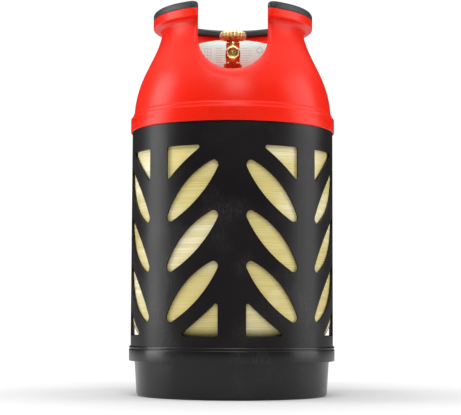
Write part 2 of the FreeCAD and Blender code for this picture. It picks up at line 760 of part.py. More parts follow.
def relief_spring():
    """Coil spring between the poppet and the relief plug."""
    mean = poppet_stem_radius + spring_wire / 2 + spring_stem_gap
    length = plug_face() - poppet_back() - spring_wire - 2 * spring_end_gap
    helix = Part.makeHelix(length / spring_turns, length, mean)
    section = Part.Wire(Part.Circle(V(mean, 0, 0), REAR, spring_wire / 2).toShape())
    coil = Part.Wire(helix).makePipeShell([section], True, True)
    coil.rotate(V(0, 0, 0), V(1, 0, 0), -90)
    coil.translate(V(0, poppet_back() + spring_wire / 2 + spring_end_gap, outlet_height))
    return coil


def relief_plug():
    """Bored plug that sets the spring."""
    end = relief_reach - relief_plug_recess
    body = along(relief_bore - thread_clearance, plug_face(), end, outlet_height)
    return body.cut(along(relief_plug_bore, plug_face() - cutter_margin, relief_reach, outlet_height))


def relief_cap():
    """Push-on dust cap over the relief boss."""
    outer = relief_boss_radius + relief_cap_thickness
    start = relief_reach - relief_cap_length
    cap = along(outer, start, relief_reach + relief_cap_thickness, outlet_height)
    bore = relief_boss_radius + relief_cap_clearance
    return cap.cut(along(bore, start - cutter_margin, relief_reach + relief_cap_end_gap, outlet_height))


PARTS = {
    "foot": foot,
    "vessel_cradle": cradle,
    "windowed_sleeve": sleeve,
    "carrying_collar": collar,
    "rim_grip": grip,
    "fibre_winding": winding,
    "inner_liner": liner,
    "neck_boss": boss,
    "boss_seal": boss_seal,
    "neck_seal": neck_seal,
    "information_label": label,
    "valve_body": valve_body,
    "packing_nut": packing_nut,
    "spindle": spindle,
    "spindle_o_rings": spindle_o_rings,
    "seat_plug": seat_plug,
    "seat_disc": seat_disc,
    "handwheel": handwheel,
    "handwheel_nut": wheel_nut,
    "relief_poppet": poppet,
    "relief_seal": relief_seal,
    "relief_spring": relief_spring,
    "relief_plug": relief_plug,
    "relief_cap": relief_cap,
}


def main():
    """Builds every sub-part and writes its STEP file."""
    os.makedirs("parts", exist_ok=True)
    for name, build in PARTS.items():
        shape = build()
        box = shape.BoundBox
        print(f"{name}: {shape.ShapeType} solids {len(shape.Solids)} valid {shape.isValid()} "
              f"volume {shape.Volume / 1000:.2f} cm3 z {box.ZMin:.1f}..{box.ZMax:.1f} r {box.XMax:.1f}")
        shape.exportStep(f"parts/{name}.step")


main()
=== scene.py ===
"""Looks of a composite gas cylinder: casing, wound vessel, carrying collar, valve, and the studio around it.

Lengths inside the classes are millimetres in the frame's own axes, with +Z up and the notch facing -Y. Meshes are
written in metres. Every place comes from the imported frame, and every new surface is a formula on a grid.
"""

import logging
import math
from dataclasses import dataclass, field
from enum import Enum
from typing import Callable, Sequence

import bmesh
import bpy
import numpy as np
from mathutils import Matrix, Vector


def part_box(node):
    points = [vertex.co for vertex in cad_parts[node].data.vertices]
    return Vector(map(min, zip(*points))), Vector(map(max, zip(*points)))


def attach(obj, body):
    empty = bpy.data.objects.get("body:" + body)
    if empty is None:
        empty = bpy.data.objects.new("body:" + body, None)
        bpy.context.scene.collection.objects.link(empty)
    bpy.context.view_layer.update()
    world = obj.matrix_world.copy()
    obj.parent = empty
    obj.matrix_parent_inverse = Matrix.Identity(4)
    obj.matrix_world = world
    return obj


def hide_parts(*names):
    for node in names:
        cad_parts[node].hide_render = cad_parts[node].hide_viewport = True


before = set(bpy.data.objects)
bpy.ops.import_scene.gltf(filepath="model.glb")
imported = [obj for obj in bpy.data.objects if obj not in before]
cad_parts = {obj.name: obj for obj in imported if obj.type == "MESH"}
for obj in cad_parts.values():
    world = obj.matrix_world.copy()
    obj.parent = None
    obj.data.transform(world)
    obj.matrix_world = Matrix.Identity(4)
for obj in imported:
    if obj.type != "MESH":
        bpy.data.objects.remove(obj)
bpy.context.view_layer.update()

METRES = 0.001
BODY = "cylinder"
WHEEL_BODY = "handwheel_assembly"
log = logging.getLogger("gas_cylinder")


class Turn(Enum):
    """The axis that a turned piece is spun around, as the outward direction of its length."""

    UP = "up"
    FRONT = "front"
    REAR = "rear"


# ---- Geometry helpers -------------------------------------------------------------------------------------------


def corner(node: str, high: bool) -> np.ndarray:
    """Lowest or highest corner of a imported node.

    Args:
        node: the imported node's name.
        high: True for the highest corner.

    Returns:
        The corner in millimetres.
    """
    return np.array(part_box(node)[1 if high else 0]) / METRES


def ease(value: np.ndarray) -> np.ndarray:
    """Smooth step from 0 to 1: 3v^2 - 2v^3 of the value held between 0 and 1."""
    held = np.clip(value, 0.0, 1.0)
    return held * held * (3.0 - 2.0 * held)


def outline(corners: Sequence[tuple[float, float, float]], steps: int = 5, closed: bool = True) -> np.ndarray:
    """Outline through corners, each rounded by an arc tangent to its two sides.

    The arc of radius r at a corner of half angle h starts r / tan(h) before the corner, and its centre lies
    r / sin(h) along the bisector.

    Args:
        corners: (first, second, radius) for each corner; a radius of 0 keeps it sharp.
        steps: spans in each arc.
        closed: whether the last corner joins the first.

    Returns:
        Points as an (n, 2) array.
    """
    points = np.array([c[:2] for c in corners], float)
    radii = [c[2] for c in corners]
    count = len(points)
    parts: list[np.ndarray] = []
    for k in range(count):
        here = points[k]
        if radii[k] <= 0 or (not closed and k in (0, count - 1)):
            parts.append(here[None, :])
            continue
        before = points[k - 1] - here
        after = points[(k + 1) % count] - here
        before = before / np.linalg.norm(before)
        after = after / np.linalg.norm(after)
        half = math.acos(float(np.clip(before @ after, -1.0, 1.0))) / 2.0
        middle = (before + after) / np.linalg.norm(before + after)
        centre = here + middle * radii[k] / math.sin(half)
        first = here + before * radii[k] / math.tan(half) - centre
        last = here + after * radii[k] / math.tan(half) - centre
        sweep = math.acos(float(np.clip(first @ last / radii[k] ** 2, -1.0, 1.0)))
        share = np.linspace(0.0, 1.0, steps + 1)[:, None]
        parts.append(centre + (np.sin((1 - share) * sweep) * first + np.sin(share * sweep) * last) / math.sin(sweep))
    return np.vstack(parts)


@dataclass
class Surface:
    """Points in millimetres and the faces between them."""

    points: np.ndarray
    faces: np.ndarray

    def plus(self, other: "Surface") -> "Surface":
        """This surface and another as one, with their points kept apart."""
        shifted = other.faces + len(self.points)
        return Surface(np.vstack([self.points, other.points]), np.vstack([self.faces, shifted]))

    def mirrored(self) -> "Surface":
        """This surface and its mirror image about the YZ plane, with the image's faces turned to match."""
        image = Surface(self.points * np.array([-1.0, 1.0, 1.0]), self.faces[:, ::-1])
        return self.plus(image)

    def moved(self, offset: Sequence[float]) -> "Surface":
        """This surface shifted by an offset."""
        return Surface(self.points + np.array(offset, float), self.faces)


def lattice(points: np.ndarray, wrap_rows: bool = False, wrap_columns: bool = False) -> Surface:
    """Surface of quads over a grid of points.

    Args:
        points: grid of shape (rows, columns, 3).
        wrap_rows: whether the last row joins the first.
        wrap_columns: whether the last column joins the first.

    Returns:
        The surface, with one quad between each four neighbours.
    """
    rows, columns = points.shape[:2]
    index = np.arange(rows * columns).reshape(rows, columns)
    if wrap_rows:
        index = np.vstack([index, index[:1]])
    if wrap_columns:
        index = np.hstack([index, index[:, :1]])
    corners = (index[:-1, :-1], index[:-1, 1:], index[1:, 1:], index[1:, :-1])
    faces = np.stack([c.ravel() for c in corners], axis=1)
    return Surface(points.reshape(-1, 3), faces)


def facing(points: np.ndarray, turn: Turn) -> np.ndarray:
    """Points drawn around +Z, laid with their +Z along the turn's direction and kept right-handed."""
    x, y, z = points[..., 0], points[..., 1], points[..., 2]
    if turn is Turn.FRONT:
        return np.stack([x, -z, y], axis=-1)
    if turn is Turn.REAR:
        return np.stack([-x, z, y], axis=-1)
    return points


def turned(profile: np.ndarray, segments: int = 96, turn: Turn = Turn.UP, closed: bool = True,
           radius_of: Callable[[np.ndarray, np.ndarray], np.ndarray] | None = None) -> Surface:
    """Surface of a profile carried once around an axis.

    A profile point (r, h) at angle a goes to (r cos a, r sin a, h). radius_of may change r by r and a, which
    gives flats or flutes.

    Args:
        profile: (n, 2) array of radius and height.
        segments: steps around the axis.
        turn: the axis.
        closed: whether the profile's last point joins its first.
        radius_of: a function of the radii and angles that returns new radii.

    Returns:
        The surface.
    """
    angle = np.linspace(0.0, 2.0 * math.pi, segments, endpoint=False)[None, :]
    radius = np.repeat(profile[:, :1], segments, axis=1)
    if radius_of is not None:
        radius = radius_of(radius, np.repeat(angle, len(profile), axis=0))
    height = np.repeat(profile[:, 1:], segments, axis=1)
    points = np.stack([radius * np.cos(angle), radius * np.sin(angle), height], axis=-1)
    return lattice(facing(points, turn), wrap_rows=closed, wrap_columns=True)


def hexagon_limit(across: float, first_corner: float = math.pi / 6) -> Callable[[np.ndarray, np.ndarray], np.ndarray]:
    """Limits radii to a hexagon.

    A flat at distance across / 2 whose normal is at angle n passes through radius across / (2 cos(a - n)) at
    angle a, and a point lies inside the hexagon when its radius is no more than that.

    Args:
        across: distance across flats.
        first_corner: angle of one corner.

    Returns:
        A function for turned's radius_of.
    """
    def limit(radius: np.ndarray, angle: np.ndarray) -> np.ndarray:
        """Smaller of the radius and the hexagon's radius at the angle."""
        from_flat = np.mod(angle - first_corner, math.pi / 3) - math.pi / 6
        return np.minimum(radius, across / 2.0 / np.cos(from_flat))

    return limit


def piece(name: str, surface: Surface, material: bpy.types.Material, body: str = BODY,
          stands_for: Sequence[str] = (), sharp: float = 38.0) -> bpy.types.Object:
    """Object of a surface, welded, with its faces turned outwards, and tied to the frame.

    Args:
        name: the piece's name.
        surface: its points and faces.
        material: its finish.
        body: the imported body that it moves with.
        stands_for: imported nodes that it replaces.
        sharp: edges steeper than this many degrees stay crisp.

    Returns:
        The new object.
    """
    mesh = bpy.data.meshes.new(name)
    mesh.from_pydata((surface.points * METRES).tolist(), [], surface.faces.tolist())
    shape = bmesh.new()
    shape.from_mesh(mesh)
    bmesh.ops.remove_doubles(shape, verts=shape.verts, dist=2e-6)
    bmesh.ops.dissolve_degenerate(shape, edges=shape.edges, dist=1e-7)
    bmesh.ops.recalc_face_normals(shape, faces=shape.faces)
    shape.to_mesh(mesh)
    shape.free()
    mesh.polygons.foreach_set("use_smooth", np.ones(len(mesh.polygons), bool))
    mesh.set_sharp_from_angle(angle=math.radians(sharp))
    mesh.materials.append(material)
    made = bpy.data.objects.new(name, mesh)
    bpy.context.scene.collection.objects.link(made)
    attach(made, body)
    if stands_for:
        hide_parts(*stands_for)
    log.info("%s: %d faces", name, len(mesh.polygons))
    return made


# ---- Material helpers -------------------------------------------------------------------------------------------


class Nodes:
    """A node tree being built: short calls that add a node, set it and link it."""

    def __init__(self, tree: bpy.types.NodeTree) -> None:
        """Keeps the tree."""
        self.tree = tree

    def add(self, kind: str, values: dict | None = None, **links: object) -> bpy.types.Node:
        """Adds a node.

        Args:
            kind: the node's type.
            values: attributes of the node to set.
            **links: for each input, by name with _ for a space, a socket to link or a value to set.

        Returns:
            The node.
        """
        node = self.tree.nodes.new(kind)
        for name, value in (values or {}).items():
            setattr(node, name, value)
        for name, value in links.items():
            self.give(node.inputs[name.replace("_", " ")], value)
        return node

    def give(self, socket: bpy.types.NodeSocket, value: object) -> None:
        """Links a socket to an output, or sets its value."""
        if isinstance(value, bpy.types.NodeSocket):
            self.tree.links.new(value, socket)
        else:
            socket.default_value = value

    def math(self, operation: str, first: object, second: object = 0.0, clamp: bool = False) -> bpy.types.NodeSocket:
        """Output of a Math node over two values or sockets."""
        node = self.add("ShaderNodeMath", {"operation": operation, "use_clamp": clamp})
        self.give(node.inputs[0], first)
        self.give(node.inputs[1], second)
        return node.outputs[0]

    def mix(self, factor: object, first: object, second: object) -> bpy.types.NodeSocket:
        """Colour output of a Mix node."""
        node = self.add("ShaderNodeMix", {"data_type": "RGBA"})
        self.give(node.inputs["Factor"], factor)
        self.give(node.inputs[6], first)
        self.give(node.inputs[7], second)
        return node.outputs[2]

    def ramp(self, value: object, low: float, high: float, to_low: float = 0.0, to_high: float = 1.0
             ) -> bpy.types.NodeSocket:
        """Value carried from the range low..high to the range to_low..to_high, held at its ends."""
        node = self.add("ShaderNodeMapRange", {"clamp": True})
        for socket, given in zip(node.inputs, (value, low, high, to_low, to_high)):
            self.give(socket, given)
        return node.outputs[0]

    def place(self, scale: Sequence[float], turn: Sequence[float] = (0.0, 0.0, 0.0)) -> bpy.types.NodeSocket:
        """Object coordinates, turned and scaled."""
        source = self.add("ShaderNodeTexCoord")
        node = self.add("ShaderNodeMapping", Vector=source.outputs["Object"])
        node.inputs["Scale"].default_value = scale
        node.inputs["Rotation"].default_value = turn
        return node.outputs[0]

    def noise(self, vector: object, scale: float, detail: float = 3.0, roughness: float = 0.5
              ) -> bpy.types.NodeSocket:
        """Value output of a Noise texture."""
        node = self.add("ShaderNodeTexNoise", Vector=vector, Scale=scale, Detail=detail, Roughness=roughness)
        return node.outputs[0]


def shared(name: str, inputs: dict[str, float], outputs: Sequence[str],
           build: Callable[[Nodes, bpy.types.Node], dict[str, bpy.types.NodeSocket]]) -> bpy.types.NodeTree:
    """Shader node group that several finishes use.

    Args:
        name: the group's name.
        inputs: each named input and its first value.
        outputs: the named outputs.
        build: fills the group and returns a socket for each output.

    Returns:
        The group, made once and found again by its name.
    """
    found = bpy.data.node_groups.get(name)
    if found:
        return found
    tree = bpy.data.node_groups.new(name, "ShaderNodeTree")
    for label, value in inputs.items():
        tree.interface.new_socket(label, in_out="INPUT", socket_type="NodeSocketFloat").default_value = value
    for label in outputs:
        tree.interface.new_socket(label, in_out="OUTPUT", socket_type="NodeSocketFloat")
    nodes = Nodes(tree)
    start = nodes.add("NodeGroupInput")
    end = nodes.add("NodeGroupOutput")
    for label, socket in build(nodes, start).items():
        tree.links.new(socket, end.inputs[label])
    return tree


def moulded_grain() -> bpy.types.NodeTree:
    """Grain of moulded plastic.

    Returns:
        Group with Height, a fine pebble over a slow ripple, and Gloss, a patchy value from 0 to 1.
    """
    def build(nodes: Nodes, start: bpy.types.Node) -> dict[str, bpy.types.NodeSocket]:
        """Fine noise for the pebble, wide noise for the ripple and for the patches."""
        source = nodes.add("ShaderNodeTexCoord").outputs["Object"]
        fine = nodes.add("ShaderNodeTexNoise", Vector=source, Scale=start.outputs["Grain Scale"], Detail=2.0)
        slow = nodes.noise(source, 22.0, 2.0)
        patch = nodes.noise(source, 9.0, 4.0, 0.6)
        height = nodes.math("ADD", nodes.math("MULTIPLY", fine.outputs[0], start.outputs["Grain"]),
                            nodes.math("MULTIPLY", slow, start.outputs["Ripple"]))
        return {"Height": height, "Gloss": nodes.ramp(patch, 0.3, 0.7)}

    return shared("moulded_grain", {"Grain Scale": 1400.0, "Grain": 0.5, "Ripple": 1.0}, ["Height", "Gloss"], build)


def fine_scratches() -> bpy.types.NodeTree:
    """Handling marks.

    Returns:
        Group with Marks: thin streaks in two directions, from 0 to 1, sparse and broken up by a wide noise.
    """
    def build(nodes: Nodes, start: bpy.types.Node) -> dict[str, bpy.types.NodeSocket]:
        """Two stretched noises, each kept only near its middle value, inside patches."""
        first = nodes.noise(nodes.place((30.0, 30.0, 420.0), (0.5, 0.2, 0.4)), 3.0, 2.0)
        second = nodes.noise(nodes.place((420.0, 420.0, 26.0), (0.2, 0.3, 0.9)), 2.0, 2.0)
        lines = [nodes.ramp(nodes.math("ABSOLUTE", nodes.math("SUBTRACT", n, 0.5)), 0.0, 0.012, 1.0, 0.0)
                 for n in (first, second)]
        patch = nodes.ramp(nodes.noise(nodes.place((1.0, 1.0, 1.0)), 16.0, 3.0), 0.52, 0.7)
        both = nodes.math("MULTIPLY", nodes.math("MAXIMUM", lines[0], lines[1]), patch)
        return {"Marks": nodes.math("MULTIPLY", both, start.outputs["Amount"])}

    return shared("fine_scratches", {"Amount": 1.0}, ["Marks"], build)


@dataclass(frozen=True)
class Finish:
    """What every finish has: a name and a way to start its material."""

    name: str

    def start(self) -> tuple[bpy.types.Material, Nodes, bpy.types.Node]:
        """New material with its tree and its Principled shader."""
        material = bpy.data.materials.new(self.name)
        material.use_nodes = True
        nodes = Nodes(material.node_tree)
        return material, nodes, material.node_tree.nodes["Principled BSDF"]

    def use(self, nodes: Nodes, group: bpy.types.NodeTree, **values: float) -> bpy.types.Node:
        """Group node in a material with its own values."""
        node = nodes.add("ShaderNodeGroup", {"node_tree": group})
        for name, value in values.items():
            node.inputs[name.replace("_", " ")].default_value = value
        return node


@dataclass(frozen=True)
class MouldedPlastic(Finish):
    """Satin moulded plastic with a fine pebble, slow ripples and light handling marks."""

    colour: tuple[float, float, float]
    deep: tuple[float, float, float]
    roughness: float = 0.38
    roughness_spread: float = 0.08
    grain: float = 0.5
    grain_scale: float = 1400.0
    bump: float = 0.05
    marks: float = 0.3
    specular: float = 0.5

    def material(self) -> bpy.types.Material:
        """Builds the material."""
        material, nodes, shader = self.start()
        grain = self.use(nodes, moulded_grain(), Grain_Scale=self.grain_scale, Grain=self.grain)
        marks = self.use(nodes, fine_scratches(), Amount=self.marks)
        base = nodes.mix(grain.outputs["Gloss"], (*self.deep, 1.0), (*self.colour, 1.0))
        worn = nodes.mix(nodes.math("MULTIPLY", marks.outputs["Marks"], 0.25), base, (0.6, 0.58, 0.56, 1.0))
        nodes.give(shader.inputs["Base Color"], worn)
        rough = nodes.ramp(grain.outputs["Gloss"], 0.0, 1.0, self.roughness, self.roughness + self.roughness_spread)
        scuffed = nodes.math("MULTIPLY", marks.outputs["Marks"], 0.2)
        nodes.give(shader.inputs["Roughness"], nodes.math("ADD", rough, scuffed))
        bump = nodes.add("ShaderNodeBump", Strength=self.bump, Distance=0.0006, Height=grain.outputs["Height"])
        nodes.give(shader.inputs["Normal"], bump.outputs[0])
        shader.inputs["Specular IOR Level"].default_value = self.specular
        return material


@dataclass(frozen=True)
class WoundFibre(Finish):
    """Glass fibre wound in hoops under clear resin: straw tows, thin dark gaps, and pale streaks along the tows that
    show only inside patches of painted glare, a painted highlight.
    """

    straw: tuple[float, float, float] = (0.56, 0.45, 0.13)
    pale: tuple[float, float, float] = (0.72, 0.63, 0.28)
    amber: tuple[float, float, float] = (0.52, 0.35, 0.10)
    tow_pitch: float = 3.4

    def material(self) -> bpy.types.Material:
        """Builds the material: colour by height along the vessel, drawn out around it by stretched noise."""
        material, nodes, shader = self.start()
        source = nodes.add("ShaderNodeTexCoord").outputs["Object"]
        height = nodes.add("ShaderNodeSeparateXYZ", Vector=source).outputs["Z"]
        sway = nodes.math("MULTIPLY", nodes.noise(nodes.place((6.0, 6.0, 14.0)), 1.0, 2.0), 0.0035)
        along = nodes.math("DIVIDE", nodes.math("ADD", height, sway), self.tow_pitch * METRES)
        share = nodes.math("FRACT", along)
        edge = nodes.math("ABSOLUTE", nodes.math("SUBTRACT", share, 0.5))
        gap = nodes.ramp(edge, 0.40, 0.49)
        strands = nodes.noise(nodes.place((5.0, 5.0, 1500.0)), 1.0, 4.0, 0.7)
        tows = nodes.noise(nodes.place((3.0, 3.0, 240.0)), 1.0, 3.0, 0.6)
        cloud = nodes.noise(source, 14.0, 3.0)
        broken = nodes.ramp(nodes.noise(nodes.place((9.0, 9.0, 90.0)), 1.0, 3.0), 0.42, 0.62)
        base = nodes.mix(nodes.ramp(strands, 0.3, 0.7), (*self.straw, 1.0), (*self.pale, 1.0))
        warm = nodes.mix(nodes.math("MULTIPLY", nodes.ramp(cloud, 0.5, 0.8), 0.45), base, (*self.amber, 1.0))
        dark = nodes.math("MULTIPLY", nodes.math("MULTIPLY", gap, broken), 0.75)
        tone = nodes.mix(dark, warm, (0.33, 0.22, 0.07, 1.0))
        # Painted highlight: pale colour is mixed in where the tow streaks meet patches of painted glare.
        painted_glare = nodes.ramp(nodes.noise(nodes.place((7.0, 7.0, 9.0)), 1.0, 2.0), 0.48, 0.62)
        streak = nodes.math("ADD", nodes.ramp(tows, 0.5, 0.75), 0.45, True)
        light = nodes.math("MULTIPLY", nodes.math("MULTIPLY", streak, painted_glare), 0.75)
        nodes.give(shader.inputs["Base Color"], nodes.mix(light, tone, (0.92, 0.87, 0.66, 1.0)))
        nodes.give(shader.inputs["Roughness"], nodes.ramp(tows, 0.3, 0.7, 0.30, 0.5))
        lift = nodes.math("ADD", nodes.math("MULTIPLY", strands, 0.6), nodes.math("MULTIPLY", gap, -0.5))
        bump = nodes.add("ShaderNodeBump", Strength=0.35, Distance=0.0003, Height=lift)
        nodes.give(shader.inputs["Normal"], bump.outputs[0])
        shader.inputs["Coat Weight"].default_value = 0.3
        shader.inputs["Coat Roughness"].default_value = 0.25
        return material


@dataclass(frozen=True)
class Brass(Finish):
    """Brass, either turned with fine rings along an axis or cast with a soft grain."""

    colour: tuple[float, float, float] = (0.80, 0.66, 0.30)
    stain: tuple[float, float, float] = (0.40, 0.26, 0.09)
    roughness: float = 0.2
    ring_stretch: tuple[float, float, float] = (8.0, 8.0, 2600.0)
    ring_bump: float = 0.06
    cast: float = 0.0

    def material(self) -> bpy.types.Material:
        """Builds the material."""
        material, nodes, shader = self.start()
        source = nodes.add("ShaderNodeTexCoord").outputs["Object"]
        rings = nodes.noise(nodes.place(self.ring_stretch), 1.0, 3.0, 0.6)
        blotch = nodes.noise(source, 130.0, 4.0, 0.6)
        grit = nodes.noise(source, 1500.0, 2.0)
        marks = self.use(nodes, fine_scratches(), Amount=0.6)
        tint = nodes.math("MULTIPLY", nodes.ramp(blotch, 0.5, 0.8), 0.35)
        nodes.give(shader.inputs["Base Color"], nodes.mix(tint, (*self.colour, 1.0), (*self.stain, 1.0)))
        shader.inputs["Metallic"].default_value = 1.0
        spread = nodes.ramp(blotch, 0.3, 0.7, self.roughness, self.roughness + 0.14)
        nodes.give(shader.inputs["Roughness"], nodes.math("ADD", spread, nodes.math(
            "MULTIPLY", marks.outputs["Marks"], 0.15)))
        height = nodes.math("ADD", nodes.math("MULTIPLY", rings, 1.0 - self.cast),
                            nodes.math("MULTIPLY", grit, self.cast))
        bump = nodes.add("ShaderNodeBump", Strength=self.ring_bump, Distance=0.0003, Height=height)
        nodes.give(shader.inputs["Normal"], bump.outputs[0])
        return material


@dataclass(frozen=True)
class SoftMatt(Finish):
    """Rubber and other soft matt plastic with a fine stipple."""

    colour: tuple[float, float, float]
    roughness: float = 0.62
    stipple: float = 0.25

    def material(self) -> bpy.types.Material:
        """Builds the material."""
        material, nodes, shader = self.start()
        grain = self.use(nodes, moulded_grain(), Grain_Scale=1900.0, Grain=1.0, Ripple=0.3)
        dusty = nodes.math("MULTIPLY", grain.outputs["Gloss"], 0.3)
        pale = tuple(min(1.0, c * 1.7 + 0.01) for c in self.colour)
        nodes.give(shader.inputs["Base Color"], nodes.mix(dusty, (*self.colour, 1.0), (*pale, 1.0)))
        nodes.give(shader.inputs["Roughness"], nodes.ramp(grain.outputs["Gloss"], 0.0, 1.0, self.roughness,
                                                          self.roughness + 0.12))
        bump = nodes.add("ShaderNodeBump", Strength=self.stipple, Distance=0.0003, Height=grain.outputs["Height"])
        nodes.give(shader.inputs["Normal"], bump.outputs[0])
        return material


@dataclass(frozen=True)
class PrintedLabel(Finish):
    """Pale sheet printed with plain ruled lines, a ring and a small empty table; it says nothing.

    The sheet is a little green because the collar's red falls back on it, and it looks ivory there.
    """

    centre: float = 530.0
    line_pitch: float = 3.6
    line_share: float = 0.28
    box_size: float = 5.0
    box_line: float = 0.14
    ring_width: float = 0.55

    def material(self) -> bpy.types.Material:
        """Builds the material: marks drawn by the place across (X) and up (Z) on the sheet."""
        material, nodes, shader = self.start()
        source = nodes.add("ShaderNodeTexCoord").outputs["Object"]
        split = nodes.add("ShaderNodeSeparateXYZ", Vector=source)
        across = nodes.math("DIVIDE", split.outputs["X"], METRES)
        up = nodes.math("SUBTRACT", nodes.math("DIVIDE", split.outputs["Z"], METRES), self.centre)
        ink = self.ruled(nodes, across, up, -27.0, -11.0, 1.0)
        ink = nodes.math("MAXIMUM", ink, self.ruled(nodes, across, up, 11.0, 31.0, 0.7))
        ink = nodes.math("MAXIMUM", ink, self.table(nodes, across, up))
        teal = self.ring(nodes, across, up, 42.5, 7.0, 4.2)
        fibre = nodes.noise(source, 900.0, 3.0)
        paper = nodes.mix(nodes.ramp(fibre, 0.3, 0.7), (0.60, 0.92, 0.85, 1.0), (0.66, 0.98, 0.93, 1.0))
        lined = nodes.mix(nodes.math("MULTIPLY", ink, 0.6), paper, (0.42, 0.36, 0.36, 1.0))
        nodes.give(shader.inputs["Base Color"], nodes.mix(nodes.math("MULTIPLY", teal, 0.7), lined,
                                                          (0.22, 0.38, 0.44, 1.0)))
        nodes.give(shader.inputs["Roughness"], nodes.ramp(fibre, 0.2, 0.8, 0.42, 0.55))
        bump = nodes.add("ShaderNodeBump", Strength=0.08, Distance=0.0002, Height=fibre)
        nodes.give(shader.inputs["Normal"], bump.outputs[0])
        return material

    def inside(self, nodes: Nodes, value: object, low: float, high: float) -> bpy.types.NodeSocket:
        """1 where the value is between low and high, 0 elsewhere."""
        over = nodes.math("GREATER_THAN", value, low)
        return nodes.math("MULTIPLY", over, nodes.math("LESS_THAN", value, high))

    def ruled(self, nodes: Nodes, across: object, up: object, left: float, right: float, weight: float
              ) -> bpy.types.NodeSocket:
        """Block of ruled lines between two sides; a line's length goes by the sine of its number."""
        row = nodes.math("FLOOR", nodes.math("DIVIDE", up, self.line_pitch))
        share = nodes.math("FRACT", nodes.math("DIVIDE", up, self.line_pitch))
        line = nodes.math("LESS_THAN", share, self.line_share)
        wave = nodes.math("SINE", nodes.math("MULTIPLY", row, 12.9))
        uneven = nodes.math("FRACT", nodes.math("MULTIPLY", wave, 43.7))
        short = nodes.math("SUBTRACT", right, nodes.math("MULTIPLY", uneven, 7.0))
        held = nodes.math("MULTIPLY", nodes.math("GREATER_THAN", across, left), nodes.math("LESS_THAN", across, short))
        block = nodes.math("MULTIPLY", held, self.inside(nodes, up, -16.0, 12.0))
        return nodes.math("MULTIPLY", nodes.math("MULTIPLY", line, block), weight)

    def ring(self, nodes: Nodes, across: object, up: object, x: float, z: float, radius: float
             ) -> bpy.types.NodeSocket:
        """Thin circle around a point."""
        dx = nodes.math("SUBTRACT", across, x)
        dz = nodes.math("SUBTRACT", up, z)
        far = nodes.math("SQRT", nodes.math("ADD", nodes.math("MULTIPLY", dx, dx), nodes.math("MULTIPLY", dz, dz)))
        off = nodes.math("ABSOLUTE", nodes.math("SUBTRACT", far, radius))
        return nodes.math("LESS_THAN", off, self.ring_width)

    def table(self, nodes: Nodes, across: object, up: object) -> bpy.types.NodeSocket:
        """Small empty table of two by three boxes on the left."""
        dx = nodes.math("FRACT", nodes.math("DIVIDE", nodes.math("ADD", across, 45.0), self.box_size))
        dz = nodes.math("FRACT", nodes.math("DIVIDE", nodes.math("ADD", up, 6.0), self.box_size))
        lines = nodes.math("MAXIMUM", nodes.math("LESS_THAN", dx, self.box_line),
                           nodes.math("LESS_THAN", dz, self.box_line))
        held = nodes.math("MULTIPLY", self.inside(nodes, across, -45.0, -34.3), self.inside(nodes, up, -6.0, 9.7))
        return nodes.math("MULTIPLY", lines, held)


@dataclass(frozen=True)
class DrawnSteel(Finish):
    """Bright drawn wire with fine streaks."""

    def material(self) -> bpy.types.Material:
        """Builds the material."""
        material, nodes, shader = self.start()
        source = nodes.add("ShaderNodeTexCoord").outputs["Object"]
        streak = nodes.noise(nodes.place((600.0, 60.0, 600.0)), 1.0, 3.0)
        nodes.give(shader.inputs["Base Color"], nodes.mix(nodes.noise(source, 300.0), (0.42, 0.42, 0.43, 1.0),
                                                          (0.62, 0.62, 0.63, 1.0)))
        nodes.give(shader.inputs["Roughness"], nodes.ramp(streak, 0.3, 0.7, 0.22, 0.4))
        shader.inputs["Metallic"].default_value = 1.0
        return material


@dataclass(frozen=True)
class StudioPaper(Finish):
    """Pale seamless paper for the floor. It fades into the white surround at a distance, so no horizon shows."""

    fade_start: float = 0.26
    fade_end: float = 0.62
    surround: float = 1.05

    def material(self) -> bpy.types.Material:
        """Builds the material: the fade goes by the distance from the object and is only for the camera."""
        material, nodes, shader = self.start()
        place = nodes.add("ShaderNodeTexCoord").outputs["Object"]
        fibre = nodes.noise(place, 60.0, 4.0)
        distance = nodes.add("ShaderNodeVectorMath", {"operation": "LENGTH"})
        nodes.give(distance.inputs[0], place)
        far = nodes.ramp(distance.outputs["Value"], self.fade_start, self.fade_end)
        fade = nodes.math("MULTIPLY", far, nodes.add("ShaderNodeLightPath").outputs["Is Camera Ray"])
        paper = nodes.mix(fibre, (0.66, 0.66, 0.665, 1.0), (0.69, 0.69, 0.69, 1.0))
        nodes.give(shader.inputs["Base Color"], nodes.mix(fade, paper, (0.0, 0.0, 0.0, 1.0)))
        shader.inputs["Emission Color"].default_value = (1.0, 1.0, 1.0, 1.0)
        nodes.give(shader.inputs["Emission Strength"], nodes.math("MULTIPLY", fade, self.surround))
        shader.inputs["Roughness"].default_value = 0.6
        shader.inputs["Specular IOR Level"].default_value = 0.2
        return material


